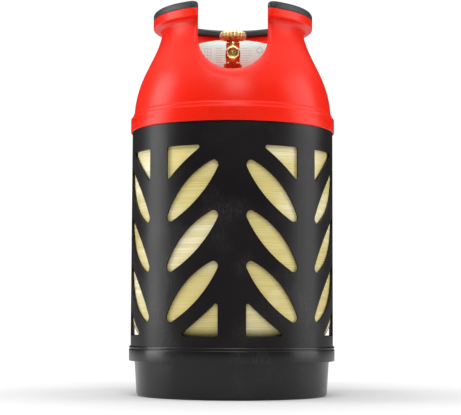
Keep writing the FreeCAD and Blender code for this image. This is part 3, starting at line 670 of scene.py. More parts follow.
@dataclass
class Palette:
    """Every finish of the object, each made once."""

    casing: bpy.types.Material = field(init=False)
    skirt: bpy.types.Material = field(init=False)
    collar: bpy.types.Material = field(init=False)
    grip: bpy.types.Material = field(init=False)
    winding: bpy.types.Material = field(init=False)
    liner: bpy.types.Material = field(init=False)
    turned_brass: bpy.types.Material = field(init=False)
    outlet_brass: bpy.types.Material = field(init=False)
    cast_brass: bpy.types.Material = field(init=False)
    seal: bpy.types.Material = field(init=False)
    cap: bpy.types.Material = field(init=False)
    label: bpy.types.Material = field(init=False)
    steel: bpy.types.Material = field(init=False)

    def __post_init__(self) -> None:
        """Builds the materials."""
        black = (0.0080, 0.0064, 0.0074)
        self.casing = MouldedPlastic("casing_plastic", black, (0.0055, 0.0042, 0.0050), roughness=0.31, grain=0.6,
                                     bump=0.12, marks=0.5, specular=0.2).material()
        self.skirt = MouldedPlastic("foot_plastic", (0.0050, 0.0040, 0.0042), (0.0032, 0.0024, 0.0026), roughness=0.2,
                                    grain=0.3, bump=0.06, marks=0.5, specular=0.34).material()
        self.collar = MouldedPlastic("collar_plastic", (0.80, 0.016, 0.0030), (0.74, 0.011, 0.0022), roughness=0.27,
                                     grain=0.3, bump=0.05, marks=0.12, specular=0.2).material()
        self.grip = SoftMatt("grip_rubber", (0.010, 0.010, 0.012), 0.42, 0.3).material()
        self.winding = WoundFibre("wound_fibre").material()
        self.liner = MouldedPlastic("liner_plastic", (0.85, 0.84, 0.80), (0.78, 0.77, 0.72)).material()
        self.turned_brass = Brass("turned_brass").material()
        self.outlet_brass = Brass("outlet_brass", ring_stretch=(8.0, 2600.0, 8.0)).material()
        self.cast_brass = Brass("cast_brass", (0.84, 0.70, 0.35), (0.60, 0.42, 0.18), roughness=0.34, ring_bump=0.25,
                                cast=1.0).material()
        self.seal = SoftMatt("seal_rubber", (0.02, 0.02, 0.02)).material()
        self.cap = SoftMatt("cap_plastic", (0.05, 0.05, 0.055), 0.45, 0.15).material()
        self.label = PrintedLabel("printed_label").material()
        self.steel = DrawnSteel("spring_steel").material()


# ---- The object -------------------------------------------------------------------------------------------------


@dataclass
class Casing:
    """Black foot, with the socket that the windowed sleeve stands in."""

    palette: Palette
    foot_height: float = 51.0
    foot_taper: float = 3.5
    foot_setback: float = 8.5
    foot_flange: float = 10.5
    wall: float = 4.0
    edge_round: float = 4.5
    ledge_low: float = 43.0
    ledge_width: float = 6.0
    shelf_inset: float = 6.5
    bore_inset: float = 2.25
    sleeve_end_depth: float = 12.0

    def build(self) -> None:
        """Makes the foot."""
        high = corner("foot", True)
        radius, top = high[0], high[2]
        skirt_top = radius - self.foot_setback
        skirt_low = skirt_top - self.foot_taper
        inner = skirt_top - self.wall
        ledge = inner - self.ledge_width
        ledge_top = self.foot_height - self.wall
        socket_floor = top - self.sleeve_end_depth
        bore = radius - self.bore_inset
        ground = corner("foot", False)[2]
        profile = outline([
            (skirt_low - self.foot_flange, ground, 1.0), (skirt_low, ground, self.edge_round),
            (skirt_top, self.foot_height, 0.6), (radius - 0.2, self.foot_height, 1.0),
            (radius, top - 5.2, 1.2), (radius - 1.1, top - 4.6, 0.3), (radius - 1.1, top - 3.6, 0.3),
            (radius - 0.4, top - 3.0, 0.6), (radius - 0.4, top, 1.7), (bore, top, 0.3),
            (bore, socket_floor, 0.0), (radius - self.shelf_inset, socket_floor, 0.5),
            (inner, self.foot_height, 0.5), (inner, ledge_top, 0.0), (ledge, ledge_top, 0.5),
            (ledge, self.ledge_low, 0.5), (skirt_low - self.wall, ground + self.wall, 3.0),
            (skirt_low - self.foot_flange, ground + self.wall, 0.5)], steps=6)
        piece("stacking_foot", turned(profile, 192), self.palette.skirt, stands_for=["foot"])


@dataclass
class Vessel:
    """Wound fibre shell seen through the windows."""

    palette: Palette
    wall: float = 3.5
    tow_pitch: float = 3.4
    tow_relief: float = 0.28
    lower_dome: float = 71.64
    upper_dome: float = 84.8
    neck_radius: float = 23.0
    lower_spring: float = 112.0
    upper_spring: float = 378.9
    fade_height: float = 6.0
    steps_per_tow: float = 6.0

    def build(self) -> None:
        """Makes the winding: hoops of tow as the root of a sine of height on the barrel, smooth on the domes."""
        radius = corner("fibre_winding", True)[0]
        rows = np.arange(self.lower_spring, self.upper_spring, self.tow_pitch / self.steps_per_tow)
        hoop = self.tow_relief * np.abs(np.sin(math.pi * rows / self.tow_pitch)) ** 0.5
        fade = ease((rows - self.lower_spring) / self.fade_height) * ease((self.upper_spring - rows) / self.fade_height)
        barrel = np.stack([radius - self.tow_relief * fade + hoop * fade, rows], axis=1)
        lower = self.dome(radius, self.lower_dome, self.lower_spring, -1.0, 0.0)
        upper = self.dome(radius, self.upper_dome, self.upper_spring, 1.0, self.neck_radius)
        outer = np.vstack([lower, barrel, upper[::-1]])
        inner_upper = self.dome(radius - self.wall, self.upper_dome - self.wall, self.upper_spring, 1.0,
                                self.neck_radius)
        inner_lower = self.dome(radius - self.wall, self.lower_dome - self.wall, self.lower_spring, -1.0, 0.0)
        profile = np.vstack([outer, inner_upper, inner_lower[::-1]])
        piece("wound_shell", turned(profile, 144, closed=False), self.palette.winding,
              stands_for=["fibre_winding"], sharp=60.0)

    def dome(self, radius: float, height: float, spring: float, sign: float, inner: float) -> np.ndarray:
        """Quarter ellipse from its pole, or from an inner radius, out to the barrel."""
        angle = np.linspace(math.asin(inner / radius), math.pi / 2, 26)
        return np.stack([radius * np.sin(angle), spring + sign * height * np.cos(angle)], axis=1)


@dataclass
class Collar:
    """Red carrying collar: socket ring, shoulder, rolled notch, lip and soft grip."""

    palette: Palette
    wall: float = 4.0
    socket_height: float = 20.5
    step_height: float = 8.0
    shoulder_inset: float = 5.0
    neck_radius: float = 105.5
    low_pull: tuple[float, float] = (-0.033, 0.47)
    high_pull: tuple[float, float] = (0.053, -0.38)
    lip_reach: float = 14.5
    lip_height: float = 12.5
    cove: float = 8.0
    notch_half: float = 50.5
    notch_low: float = 467.4854
    side_roll: float = 8.0
    lower_roll: float = 19.0
    jamb_extra: float = 2.4
    near: float = 27.0
    grip_inner: float = 97.5
    grip_round: float = 4.2
    far_steps: int = 44
    ring_share: float = 0.72
    socket_inset: float = 2.25
    socket_depth: float = 12.0
    tick_low: float = 11.0
    tick_high: float = 17.5
    tick_pitch: float = 1.6
    tick_group: float = 13.6
    tick_sunk: float = 0.3
    tick_rise: float = 0.75
    group_pitch: float = 60.0
    floor_drop: float = 12.0
    floor_thickness: float = 3.0
    floor_bore: float = 24.6
    label_arch: float = 157.0
    label_gap: float = 0.45
    label_thickness: float = 0.3

    def __post_init__(self) -> None:
        """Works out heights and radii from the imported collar."""
        low, high = corner("carrying_collar", False), corner("carrying_collar", True)
        self.socket_radius = high[0]
        self.low = low[2]
        self.lip_top = high[2]
        self.lip_low = self.lip_top - self.lip_height
        self.shoulder_low = self.low + self.socket_height + self.step_height
        self.shoulder_radius = self.socket_radius - self.shoulder_inset
        self.curve = self.bezier()

    def bezier(self) -> np.ndarray:
        """Wall's outside as radius against height: a cubic Bezier from the shoulder to the lip."""
        rise = self.lip_low - self.shoulder_low
        first = np.array([self.shoulder_radius, self.shoulder_low])
        last = np.array([self.neck_radius, self.lip_low])
        second = first + rise * np.array(self.low_pull)
        third = last + rise * np.array(self.high_pull)
        t = np.linspace(0.0, 1.0, 400)[:, None]
        return ((1 - t) ** 3 * first + 3 * t * (1 - t) ** 2 * second + 3 * t ** 2 * (1 - t) * third + t ** 3 * last)

    def radius_at(self, height: np.ndarray) -> np.ndarray:
        """Outside radius of the wall at a height."""
        return np.interp(height, self.curve[:, 1], self.curve[:, 0])

    def build(self) -> None:
        """Makes every piece of the collar."""
        self.make_shell()
        self.make_socket()
        self.make_ticks()
        self.make_floor()
        self.make_grip()
        self.make_label()

    def rows(self) -> dict[str, np.ndarray]:
        """Grid rows from the notch's lowest point up its edge and over the lip.

        Returns:
            For each row: the edge point (ex, ez), the direction away from it (nx, nz), the roll's radius, the
            lip's reach, and the far end of the row as an angle from the front and a height.
        """
        centre = self.notch_low + self.notch_half
        sweep = np.linspace(-math.pi / 2, 0.0, 46)
        share = (sweep + math.pi / 2) / (math.pi / 2)
        ring_share = np.clip(share / self.ring_share, 0.0, 1.0)
        rear_share = np.clip((share - self.ring_share) / (1.0 - self.ring_share), 0.0, 1.0)
        round_part = {
            "ex": self.notch_half * np.cos(sweep), "ez": centre + self.notch_half * np.sin(sweep),
            "nx": np.cos(sweep), "nz": np.sin(sweep),
            "roll": self.side_roll + (self.lower_roll - self.side_roll) * ease(1.25 * (1.0 - share)),
            "reach": np.zeros_like(sweep), "far_angle": math.pi * ring_share,
            "far_height": self.shoulder_low - 1.0 + rear_share * (centre - self.shoulder_low + 1.0)}
        lip = self.lip_profile()
        straight = np.linspace(centre, lip[0, 1], 9)[1:-1]
        heights = np.concatenate([straight, lip[:, 1]])
        reach = np.concatenate([np.zeros_like(straight), lip[:, 0]])
        ones = np.ones_like(heights)
        side_part = {
            "ex": self.notch_half * ones, "ez": heights, "nx": ones, "nz": 0.0 * ones,
            "roll": self.side_roll * ones, "reach": reach, "far_angle": math.pi * ones, "far_height": heights}
        return {key: np.concatenate([round_part[key], side_part[key]])[:, None] for key in round_part}

    def lip_profile(self) -> np.ndarray:
        """Lip's outside as reach beyond the wall and height: a cove, a short underside and a rounded face."""
        turn = np.linspace(0.0, math.pi / 2, 7)
        cove = np.stack([self.cove * (1 - np.cos(turn)), self.lip_low - self.cove * (1 - np.sin(turn))], axis=1)
        face = outline([(self.cove + 0.5, self.lip_low, 0.0), (self.lip_reach, self.lip_low, 2.4),
                        (self.lip_reach, self.lip_top, 1.0), (self.lip_reach - 2.5, self.lip_top, 0.0)],
                       steps=6, closed=False)
        face[:, 1] += np.linspace(0.0, 1e-3, len(face))
        return np.vstack([cove, face])

    def make_shell(self) -> None:
        """Wall with its rolled notch and the lip, as one closed shell.

        A row leaves the notch's edge at right angles. At distance d from the edge and depth w behind the
        outside, its point is the outside's point at the edge plus d along the row, moved w inwards: straight back
        near the notch and towards the axis further off. The outside rolls in over a quarter circle of radius r,
        d = r - r sin t and w = r - r cos t, runs back as a jamb, turns, and returns along the inside.
        """
        rows = self.rows()
        roll, reach = rows["roll"], rows["reach"]
        near_share = np.linspace(1.0, 0.0, 9)[None, :]
        quarter = np.linspace(0.0, math.pi / 2, 10)[None, 1:]
        half = np.linspace(0.0, math.pi, 8)[None, :]
        outer_d = np.hstack([roll + (self.near - roll) * near_share, roll - roll * np.sin(quarter)])
        outer_w = np.hstack([0.0 * near_share + 0.0 * roll, roll - roll * np.cos(quarter)])
        end = self.wall / 2
        depth = roll + self.jamb_extra
        back = np.linspace(0.0, math.pi / 2, 9)[None, :]
        inner_roll = roll - self.wall
        inner_d = np.hstack([end - end * np.cos(half) + 0.0 * roll, roll - inner_roll * np.cos(back),
                             roll + (self.near - roll) * near_share[:, ::-1][:, 1:]])
        inner_w = np.hstack([depth - end + end * np.sin(half), roll - inner_roll * np.sin(back),
                             self.wall + 0.0 * near_share[:, 1:] + 0.0 * roll])
        outer = self.near_points(rows, outer_d, outer_w, reach)
        inner = self.near_points(rows, inner_d, inner_w, 0.0 * reach)
        far_outer = self.far_points(rows, reach, 0.0)
        far_inner = self.far_points(rows, 0.0 * reach, self.wall)
        grid = np.concatenate([far_outer[:, ::-1], outer, inner, far_inner], axis=1)
        body = lattice(grid)
        top = np.stack([grid[-1, :grid.shape[1] // 2], grid[-1, ::-1][:grid.shape[1] // 2]])
        ring_rows = int(np.sum(rows["far_height"] < self.shoulder_low))
        bottom = np.stack([grid[:ring_rows, 0], grid[:ring_rows, -1]])
        shell = body.plus(lattice(top)).plus(lattice(bottom)).mirrored()
        piece("collar_shell", shell, self.palette.collar, stands_for=["carrying_collar"],
              sharp=45.0)

    def near_points(self, rows: dict[str, np.ndarray], distance: np.ndarray, depth: np.ndarray,
                    reach: np.ndarray) -> np.ndarray:
        """Points near the notch from their distance to its edge and their depth."""
        x = rows["ex"] + rows["nx"] * distance
        z = rows["ez"] + rows["nz"] * distance
        radius = self.radius_at(z) + reach
        y = -np.sqrt(np.maximum(radius ** 2 - x ** 2, 1.0))
        turn = ease(distance / self.near)
        inward_x = -turn * x / radius
        inward_y = 1.0 - turn + turn * (-y / radius)
        length = np.hypot(inward_x, inward_y)
        return np.stack([x + depth * inward_x / length, y + depth * inward_y / length, z], axis=-1)

    def far_points(self, rows: dict[str, np.ndarray], reach: np.ndarray, depth: float) -> np.ndarray:
        """Points from the end of the near strip to the far end of each row, even in angle and height."""
        x = rows["ex"] + rows["nx"] * self.near
        z = rows["ez"] + rows["nz"] * self.near
        start = np.arcsin(np.clip(x / (self.radius_at(z) + reach), 0.0, 1.0))
        share = np.linspace(0.0, 1.0, self.far_steps + 1)[None, 1:]
        angle = start + (rows["far_angle"] - start) * share
        height = z + (rows["far_height"] - z) * share
        radius = self.radius_at(height) + reach - depth
        return np.stack([radius * np.sin(angle), -radius * np.cos(angle), height], axis=-1)

    def make_socket(self) -> None:
        """Socket ring around the sleeve's upper end, with its step up to the shoulder."""
        top = self.low + self.socket_height
        bore = self.socket_radius - self.socket_inset
        inner = self.shoulder_radius - self.wall
        depth = self.low + self.socket_depth
        profile = outline([
            (bore, self.low, 0.4), (self.socket_radius, self.low, 1.4), (self.socket_radius, top, 1.4),
            (self.shoulder_radius + 2.2, top + 1.4, 1.2), (self.shoulder_radius + 1.5, top + 5.4, 1.4),
            (self.shoulder_radius + 0.15, self.shoulder_low, 0.2), (inner, self.shoulder_low, 0.5),
            (inner, depth, 0.3), (bore, depth, 0.0)], steps=6)
        piece("socket_ring", turned(profile, 192), self.palette.collar)

    def make_ticks(self) -> None:
        """Plain raised ticks in six groups on the ring, as a ribbed band let into its face.

        The band's radius is a little less than the face's, and rises past it where a tick stands: in each group,
        where 0.5 + 0.5 cos(2 pi a / pitch) is near 1, with a the angle from the group's middle.
        """
        face = self.socket_radius
        low, high = self.low + self.tick_low, self.low + self.tick_high
        profile = outline([(face - 1.4, low, 0.0), (face, low, 0.0), (face, high, 0.0), (face - 1.4, high, 0.0)])

        def ribbed(radius: np.ndarray, angle: np.ndarray) -> np.ndarray:
            """Band's radius at the angle; its inner corners stay."""
            across = np.mod(np.degrees(angle) + 2.0 * self.group_pitch, self.group_pitch) - self.group_pitch / 2.0
            wave = 0.5 + 0.5 * np.cos(2.0 * math.pi * across / self.tick_pitch)
            tick = ease(np.clip((wave - 0.5) / 0.3, 0.0, 1.0)) * (np.abs(across) < self.tick_group)
            return np.where(radius > face - 0.7, face - self.tick_sunk + self.tick_rise * tick, radius)

        piece("ring_ticks", turned(profile, 1800, radius_of=ribbed), self.palette.collar)

    def make_floor(self) -> None:
        """Floor around the boss with a raised lip, drawn in behind the notch's rolled edge.

        Where the floor passes at distance d from the edge, the outside has rolled in by r - sqrt(r^2 - (r - d)^2),
        so the floor's radius at the front stays that much and a small gap inside the wall.
        """
        top = corner("neck_boss", True)[2] - self.floor_drop
        outer = float(self.radius_at(np.array(top))) - self.wall + 1.0
        inner = self.floor_bore
        under, over = top - self.floor_thickness, top + self.floor_thickness
        profile = outline([
            (inner, under, 0.5), (outer, under, 0.0), (outer, top, 0.0), (inner + 5.0, top, 2.0),
            (inner + 3.5, over, 1.0), (inner, over, 1.0)], steps=5)
        below_centre = self.notch_low + self.notch_half - top

        def behind_edge(radius: np.ndarray, angle: np.ndarray) -> np.ndarray:
            """Smaller of the radius and the room behind the rolled edge, at the front only."""
            distance = np.hypot(outer * np.cos(angle), below_centre) - self.notch_half
            left = np.clip(self.lower_roll - distance, 0.0, self.lower_roll)
            rolled = self.lower_roll - np.sqrt(self.lower_roll ** 2 - left ** 2)
            room = np.where(np.sin(angle) < 0.0, outer - rolled - 1.5, outer)
            return np.minimum(radius, np.maximum(room, inner + 6.0))

        piece("collar_floor", turned(profile, 128, radius_of=behind_edge), self.palette.collar)

    def c_outline(self, inset: float) -> np.ndarray:
        """Half of the grip's outline in plan, moved inwards by an inset.

        It runs from the rear along the outer arc, round the end at the notch and back along the inner arc. Each
        rounding of radius q is tangent to the end's line and to an arc: its centre lies q from the line, and
        q inside the outer arc or outside the inner one.

        Args:
            inset: how far the outline moves inwards.

        Returns:
            Points as an (n, 2) array of x and y.
        """
        outer = self.neck_radius + self.lip_reach - inset
        inner = self.grip_inner + inset
        line = self.notch_half + inset
        big = max(8.0 - inset, 0.5)
        small = max(4.5 - inset * 0.6, 0.5)
        big_centre = np.array([line + big, -math.sqrt((outer - big) ** 2 - (line + big) ** 2)])
        small_centre = np.array([line + small, -math.sqrt((inner + small) ** 2 - (line + small) ** 2)])
        big_angle = math.atan2(big_centre[1], big_centre[0])
        small_angle = math.atan2(small_centre[1], small_centre[0])
        outer_arc = np.linspace(math.pi / 2, big_angle, 60)
        big_arc = np.linspace(big_angle, -math.pi, 10)
        small_arc = np.linspace(math.pi, small_angle + math.pi, 10)
        inner_arc = np.linspace(small_angle, math.pi / 2, 60)
        spokes = [(np.zeros(2), outer, outer_arc), (big_centre, big, big_arc), (small_centre, small, small_arc),
                  (np.zeros(2), inner, inner_arc)]
        return np.vstack([c + r * np.stack([np.cos(a), np.sin(a)], axis=1) for c, r, a in spokes])

    def make_grip(self) -> None:
        """Soft cap: the plan outline carried up, drawn in over a rounded top edge."""
        top = corner("rim_grip", True)[2]
        low = self.lip_top + 0.15
        turn = np.linspace(0.0, math.pi / 2, 8)
        rise = np.concatenate([[low, low + 0.6], [low + 3.5], top - self.grip_round * (1 - np.sin(turn))])
        inset = np.concatenate([[0.6, 0.0], [0.0], self.grip_round * (1 - np.cos(turn))])
        rings = np.stack([np.column_stack([self.c_outline(i), np.full(140, z)]) for i, z in zip(inset, rise)])
        sides = lattice(rings)
        caps = [lattice(np.stack([ring[:70], ring[::-1][:70]])) for ring in (rings[-1], rings[0])]
        surface = sides.plus(caps[0]).plus(caps[1]).mirrored()
        piece("grip_cap", surface, self.palette.grip, stands_for=["rim_grip"], sharp=50.0)

    def make_label(self) -> None:
        """Thin sheet on the inside of the rear wall with an arched top edge."""
        low, high = corner("information_label", False), corner("information_label", True)
        half_angle = math.asin(high[0] / (self.neck_radius - self.wall))
        angle = np.linspace(-half_angle, half_angle, 61)[None, :]
        share = np.linspace(0.0, 1.0, 25)[:, None]
        reach = (self.neck_radius - self.wall) * np.sin(angle)
        top = high[2] - (self.label_arch - np.sqrt(self.label_arch ** 2 - reach ** 2))
        height = low[2] + share * (top - low[2])
        front = self.radius_at(height) - self.wall - self.label_gap
        rear = front + self.label_thickness
        sheets = [np.stack([r * np.sin(angle), r * np.cos(angle), height], axis=-1) for r in (front, rear)]
        loop = [np.concatenate([s[0], s[1:, -1], s[-1, ::-1][1:], s[::-1, 0][1:-1]]) for s in sheets]
        edge = lattice(np.stack(loop), wrap_columns=True)
        surface = lattice(sheets[0]).plus(lattice(sheets[1])).plus(edge)
        piece("printed_label", surface, self.palette.label, stands_for=["information_label"])


@dataclass
class Valve:
    """Brass valve with its handwheel, outlet and relief valve."""

    palette: Palette
    hex_across: float = 27.0
    neck: float = 10.4
    chamber: float = 7.4
    nut_across: float = 18.4
    outlet_drop: float = 21.5
    neck_height: float = 33.0
    flange_thickness: float = 2.5
    seat_land: float = 1.5
    thread_start: float = 16.6
    thread_end: float = 33.0
    thread_radius: float = 10.9
    thread_pitch: float = 1.81
    gland_bore: float = 4.6
    wheel_radius: float = 20.3
    wheel_lobes: int = 18
    lobe_depth: float = 1.7

    def __post_init__(self) -> None:
        """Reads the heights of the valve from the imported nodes."""
        self.boss_top = corner("neck_boss", True)[2]
        self.neck_top = corner("packing_nut", True)[2] - 5.0
        self.nut_top = corner("packing_nut", True)[2]
        self.outlet = self.neck_top - self.outlet_drop
        self.flange_top = self.boss_top + self.flange_thickness
        self.hex_top = self.neck_top - self.neck_height
        self.stem_low = corner("valve_body", False)[2]
        self.chamber_floor = corner("seat_disc", False)[2] - self.seat_land

    def build(self) -> None:
        """Makes every visible piece of the valve."""
        self.make_body()
        self.make_outlet()
        self.make_relief()
        self.make_packing_nut()
        self.make_wheel()

    def make_body(self) -> None:
        """Stem, flange, hexagon and turned neck, with the chamber that the seat plug rises in."""
        chamber = self.chamber
        stem = outline([(0.0, self.stem_low, 0.0), (12.9, self.stem_low, 1.0), (12.9, self.boss_top, 0.3),
                        (17.0, self.boss_top, 0.6), (17.0, self.flange_top, 0.6), (0.0, self.flange_top, 0.0)])
        surface = turned(stem, 96)
        chamfer = self.hex_across / 2 + 0.4
        corner_reach = self.hex_across / math.sqrt(3)
        block = outline([(0.0, self.flange_top, 0.0), (chamfer, self.flange_top, 0.0),
                         (corner_reach, self.flange_top + 1.4, 0.0), (corner_reach, self.hex_top - 1.4, 0.0),
                         (chamfer, self.hex_top, 0.0), (chamber, self.hex_top, 0.0),
                         (chamber, self.chamber_floor, 0.0), (0.0, self.chamber_floor, 0.0)])
        surface = surface.plus(turned(block, 144, radius_of=hexagon_limit(self.hex_across)))
        neck = self.neck
        barrel = outline([
            (chamber, self.hex_top - 1.0, 0.0), (neck + 1.6, self.hex_top - 0.5, 0.0),
            (neck + 0.2, self.hex_top + 1.5, 1.2), (neck - 0.5, self.hex_top + 3.0, 0.8),
            (neck + 0.6, self.outlet - 5.0, 3.0),
            (neck + 0.6, self.outlet + 7.0, 2.5), (neck - 1.0, self.outlet + 10.0, 1.0),
            (neck - 1.0, self.neck_top - 8.6, 0.6), (neck, self.neck_top - 8.0, 0.4), (neck, self.neck_top - 5.2, 0.4),
            (neck - 0.9, self.neck_top - 4.6, 0.3), (neck - 0.9, self.neck_top - 3.9, 0.3),
            (neck, self.neck_top - 3.3, 0.4), (neck, self.neck_top, 0.7), (chamber, self.neck_top, 0.0)])
        surface = surface.plus(turned(barrel, 96))
        piece("valve_forging", surface, self.palette.turned_brass, stands_for=["valve_body"],
              sharp=30.0)

    def make_outlet(self) -> None:
        """Threaded outlet towards the front: crests every pitch along it, and a bore with a seat inside."""
        start, end, pitch = self.thread_start, self.thread_end, self.thread_pitch
        along = np.arange(start, end - 1.6, pitch / 6.0)
        crest = self.thread_radius - np.abs(np.sin(math.pi * (along - start) / pitch)) ** 1.4
        thread = np.stack([crest, along], axis=1)
        front = outline([
            (10.0, end - 1.4, 0.3), (9.6, end, 0.5), (7.1, end, 0.7), (6.6, end - 2.2, 0.4), (6.6, end - 9.0, 0.8),
            (4.6, end - 9.4, 0.5), (4.3, end - 7.6, 0.5), (3.1, end - 7.6, 0.4), (2.9, end - 20.0, 0.0),
            (0.0, end - 20.0, 0.0)], steps=4, closed=False)
        root = outline([(0.0, 2.0, 0.0), (11.4, 2.0, 0.0), (11.2, 6.0, 2.0), (9.8, 11.0, 1.2), (9.8, 15.8, 0.3),
                        (10.3, start, 0.0)], steps=4, closed=False)
        profile = np.vstack([root, thread, front])
        surface = turned(profile, 96, Turn.FRONT, closed=False).moved((0.0, 0.0, self.outlet))
        piece("threaded_outlet", surface, self.palette.outlet_brass, sharp=30.0)

    def make_relief(self) -> None:
        """Relief boss towards the rear under its push-on cap."""
        end = corner("relief_cap", True)[1]
        boss = outline([(0.0, 4.0, 0.0), (10.0, 4.0, 0.0), (9.0, 12.0, 1.5), (9.0, end - 1.8, 0.5),
                        (0.0, end - 1.8, 0.0)])
        surface = turned(boss, 72, Turn.REAR).moved((0.0, 0.0, self.outlet))
        piece("relief_boss", surface, self.palette.outlet_brass)
        cap = outline([(9.05, end - 8.6, 0.2), (10.2, end - 8.6, 0.4), (10.6, end - 7.4, 0.4), (10.6, end, 1.6),
                       (4.0, end, 0.5), (3.4, end - 0.8, 0.3), (0.0, end - 0.8, 0.0), (0.0, end - 1.7, 0.0),
                       (9.05, end - 1.7, 0.0)])
        surface = turned(cap, 72, Turn.REAR).moved((0.0, 0.0, self.outlet))
        piece("relief_dust_cap", surface, self.palette.cap, stands_for=["relief_cap"])

    def make_packing_nut(self) -> None:
        """Hexagon nut with chamfered corners around the spindle."""
        reach = self.nut_across / math.sqrt(3)
        bore = self.gland_bore
        skirt = self.neck_top - 3.0
        seat = self.neck_top + 0.05
        profile = outline([
            (bore, skirt, 0.0), (self.chamber, skirt, 0.0), (self.chamber, seat, 0.0),
            (self.nut_across / 2 + 0.3, seat, 0.0), (reach, self.neck_top + 0.9, 0.0),
            (reach, self.nut_top - 1.0, 0.0), (self.nut_across / 2 + 0.1, self.nut_top, 0.0),
            (bore, self.nut_top, 0.3)])
        surface = turned(profile, 120, radius_of=hexagon_limit(self.nut_across))
        piece("gland_nut", surface, self.palette.turned_brass, stands_for=["packing_nut"], sharp=30.0)

    def make_wheel(self) -> None:
        """Lobed handwheel.

        The rim's radius at angle a is the plain radius less the lobe depth times 1 - |cos(n a / 2)|^0.55, which
        gives n full lobes with narrow valleys, and it fades out away from the rim.
        """
        low, high = corner("handwheel", False), corner("handwheel", True)
        radius = self.wheel_radius
        base, top = low[2], high[2]
        profile = outline([
            (2.8, base, 0.0), (6.4, base, 0.8), (7.2, base + 2.4, 1.0), (14.5, base + 3.4, 1.5),
            (16.6, base + 0.6, 1.0), (radius - 0.6, base, 1.2), (radius, base + 2.6, 1.4), (radius, top - 2.6, 1.6),
            (radius - 1.6, top, 1.5), (15.2, top, 1.0), (13.6, top - 1.9, 1.0), (6.6, top - 2.2, 0.8),
            (6.0, top - 2.0, 0.3), (2.8, top - 2.0, 0.0)], steps=6)

        def lobes(radii: np.ndarray, angle: np.ndarray) -> np.ndarray:
            """Radii drawn in between the lobes."""
            valley = 1.0 - np.abs(np.cos(self.wheel_lobes * angle / 2.0)) ** 0.55
            return radii - self.lobe_depth * valley * ease((radii - 16.4) / 3.4)

        surface = turned(profile, self.wheel_lobes * 14, radius_of=lobes)
        piece("lobed_handwheel", surface, self.palette.cast_brass, WHEEL_BODY, ["handwheel"], 32.0)


@dataclass
class HiddenParts:
    """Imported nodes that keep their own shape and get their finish."""

    palette: Palette

    def build(self) -> None:
        """Dresses each node that is still shown."""
        finishes = {
            "windowed_sleeve": self.palette.casing, "vessel_cradle": self.palette.casing,
            "inner_liner": self.palette.liner, "neck_boss": self.palette.turned_brass,
            "boss_seal": self.palette.seal, "neck_seal": self.palette.seal, "spindle": self.palette.turned_brass,
            "spindle_o_rings": self.palette.seal, "seat_plug": self.palette.turned_brass,
            "seat_disc": self.palette.seal, "handwheel_nut": self.palette.turned_brass,
            "relief_poppet": self.palette.turned_brass, "relief_seal": self.palette.seal,
            "relief_spring": self.palette.steel, "relief_plug": self.palette.turned_brass}
        for name, material in finishes.items():
            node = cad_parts[name]
            node.data.materials.clear()
            node.data.materials.append(material)
            log.info("%s: packed shape kept", name)


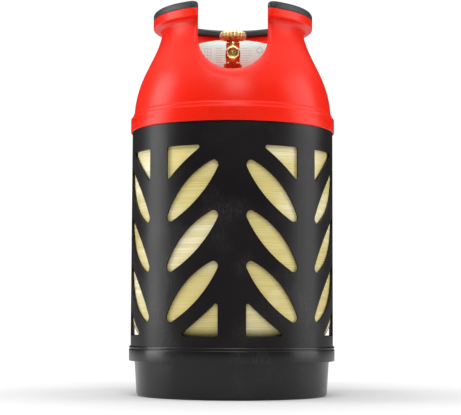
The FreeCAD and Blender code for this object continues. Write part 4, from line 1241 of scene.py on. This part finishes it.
@dataclass
class Studio:
    """Pale floor, soft lights and the camera."""

    camera_distance: float = 1.9884
    camera_height: float = 0.1125
    camera_tilt: float = 4.787
    camera_roll: float = 0.215
    lens: float = 103.92
    horizon_light: float = 0.04
    overhead_light: float = 1.6
    backdrop_light: float = 1.05
    spot_power: float = 34.0
    shift: float = -0.0038
    floor_reach: float = 6000.0

    def build(self) -> None:
        """Makes the studio."""
        self.floor()
        self.lights()
        self.camera()

    def floor(self) -> None:
        """Large flat sheet of pale paper under the object."""
        side = np.linspace(-self.floor_reach, self.floor_reach, 41)
        x, y = np.meshgrid(side, side)
        surface = lattice(np.stack([x, y, 0.0 * x], axis=-1))
        mesh = bpy.data.meshes.new("studio_floor")
        mesh.from_pydata((surface.points * METRES).tolist(), [], surface.faces[:, ::-1].tolist())
        mesh.materials.append(StudioPaper("studio_paper").material())
        sheet = bpy.data.objects.new("studio_floor", mesh)
        bpy.context.scene.collection.objects.link(sheet)

    def lights(self) -> None:
        """White surround and soft boxes on both sides, in front and above."""
        scene = bpy.context.scene
        scene.view_settings.view_transform = "Standard"
        world = bpy.data.worlds.new("studio")
        scene.world = world
        world.use_nodes = True
        nodes = Nodes(world.node_tree)
        direction = nodes.add("ShaderNodeTexCoord").outputs["Generated"]
        upward = nodes.add("ShaderNodeSeparateXYZ", Vector=direction).outputs["Z"]
        overhead = nodes.ramp(upward, 0.4, 0.95, self.horizon_light, self.overhead_light)
        seen = nodes.add("ShaderNodeLightPath").outputs["Is Camera Ray"]
        strength = nodes.add("ShaderNodeMix", {"data_type": "FLOAT"})
        nodes.give(strength.inputs["Factor"], seen)
        nodes.give(strength.inputs[2], overhead)
        nodes.give(strength.inputs[3], self.backdrop_light)
        nodes.give(world.node_tree.nodes["Background"].inputs[1], strength.outputs[0])
        nodes.give(world.node_tree.nodes["Background"].inputs[0], (1.0, 1.0, 1.0, 1.0))
        target = Vector((0.0, 0.0, 0.30))
        self.soft_box("left_box", Vector((-1.5, 0.02, 0.62)), target, 0.72, 1.5, 19.0)
        self.soft_box("right_box", Vector((1.5, -0.08, 0.62)), target, 1.0, 1.5, 15.0)
        self.soft_box("front_box", Vector((-0.3, -1.5, 2.3)), target, 1.5, 0.9, 16.0)
        self.soft_box("notch_box", Vector((0.1, -1.2, 1.15)), Vector((0.0, 0.1, 0.53)), 0.5, 0.35, 5.0)
        self.label_spot()

    def soft_box(self, name: str, place: Vector, target: Vector, width: float, height: float, power: float) -> None:
        """Adds a rectangular area light that faces a point.

        Args:
            name: its name.
            place: where it stands.
            target: the point that it faces.
            width: its width in metres.
            height: its height in metres.
            power: its power in watts.
        """
        data = bpy.data.lights.new(name, "AREA")
        data.shape = "RECTANGLE"
        data.size = width
        data.size_y = height
        data.energy = power
        lamp = bpy.data.objects.new(name, data)
        lamp.location = place
        lamp.rotation_euler = (target - place).to_track_quat("-Z", "Y").to_euler()
        lamp.visible_camera = False
        bpy.context.scene.collection.objects.link(lamp)

    def label_spot(self) -> None:
        """Adds a narrow spot that shines through the collar's open top on the valve and the label."""
        data = bpy.data.lights.new("label_spot", "SPOT")
        data.energy = self.spot_power
        data.spot_size = math.radians(11.0)
        data.spot_blend = 0.6
        data.shadow_soft_size = 0.05
        lamp = bpy.data.objects.new("label_spot", data)
        lamp.location = Vector((0.0, -0.42, 1.45))
        lamp.rotation_euler = (Vector((0.0, 0.075, 0.53)) - lamp.location).to_track_quat("-Z", "Y").to_euler()
        bpy.context.scene.collection.objects.link(lamp)

    def camera(self) -> None:
        """Low camera in front, tilted up a little."""
        data = bpy.data.cameras.new("studio_camera")
        data.lens = self.lens
        data.sensor_width = 36.0
        data.shift_x = self.shift
        camera = bpy.data.objects.new("studio_camera", data)
        bpy.context.scene.collection.objects.link(camera)
        tilt = Matrix.Rotation(math.radians(90.0 + self.camera_tilt), 4, "X")
        roll = Matrix.Rotation(math.radians(self.camera_roll), 4, "Z")
        place = Matrix.Translation((0.0, -self.camera_distance, self.camera_height))
        camera.matrix_world = place @ tilt @ roll
        bpy.context.scene.camera = camera


def main() -> None:
    """Builds the cylinder, then the studio."""
    logging.basicConfig(level=logging.INFO, format="%(name)s: %(message)s")
    palette = Palette()
    for part in (Casing(palette), Vessel(palette), Collar(palette), Valve(palette), HiddenParts(palette), Studio()):
        part.build()
        log.info("%s built", type(part).__name__)


if __name__ == "__main__":
    main()
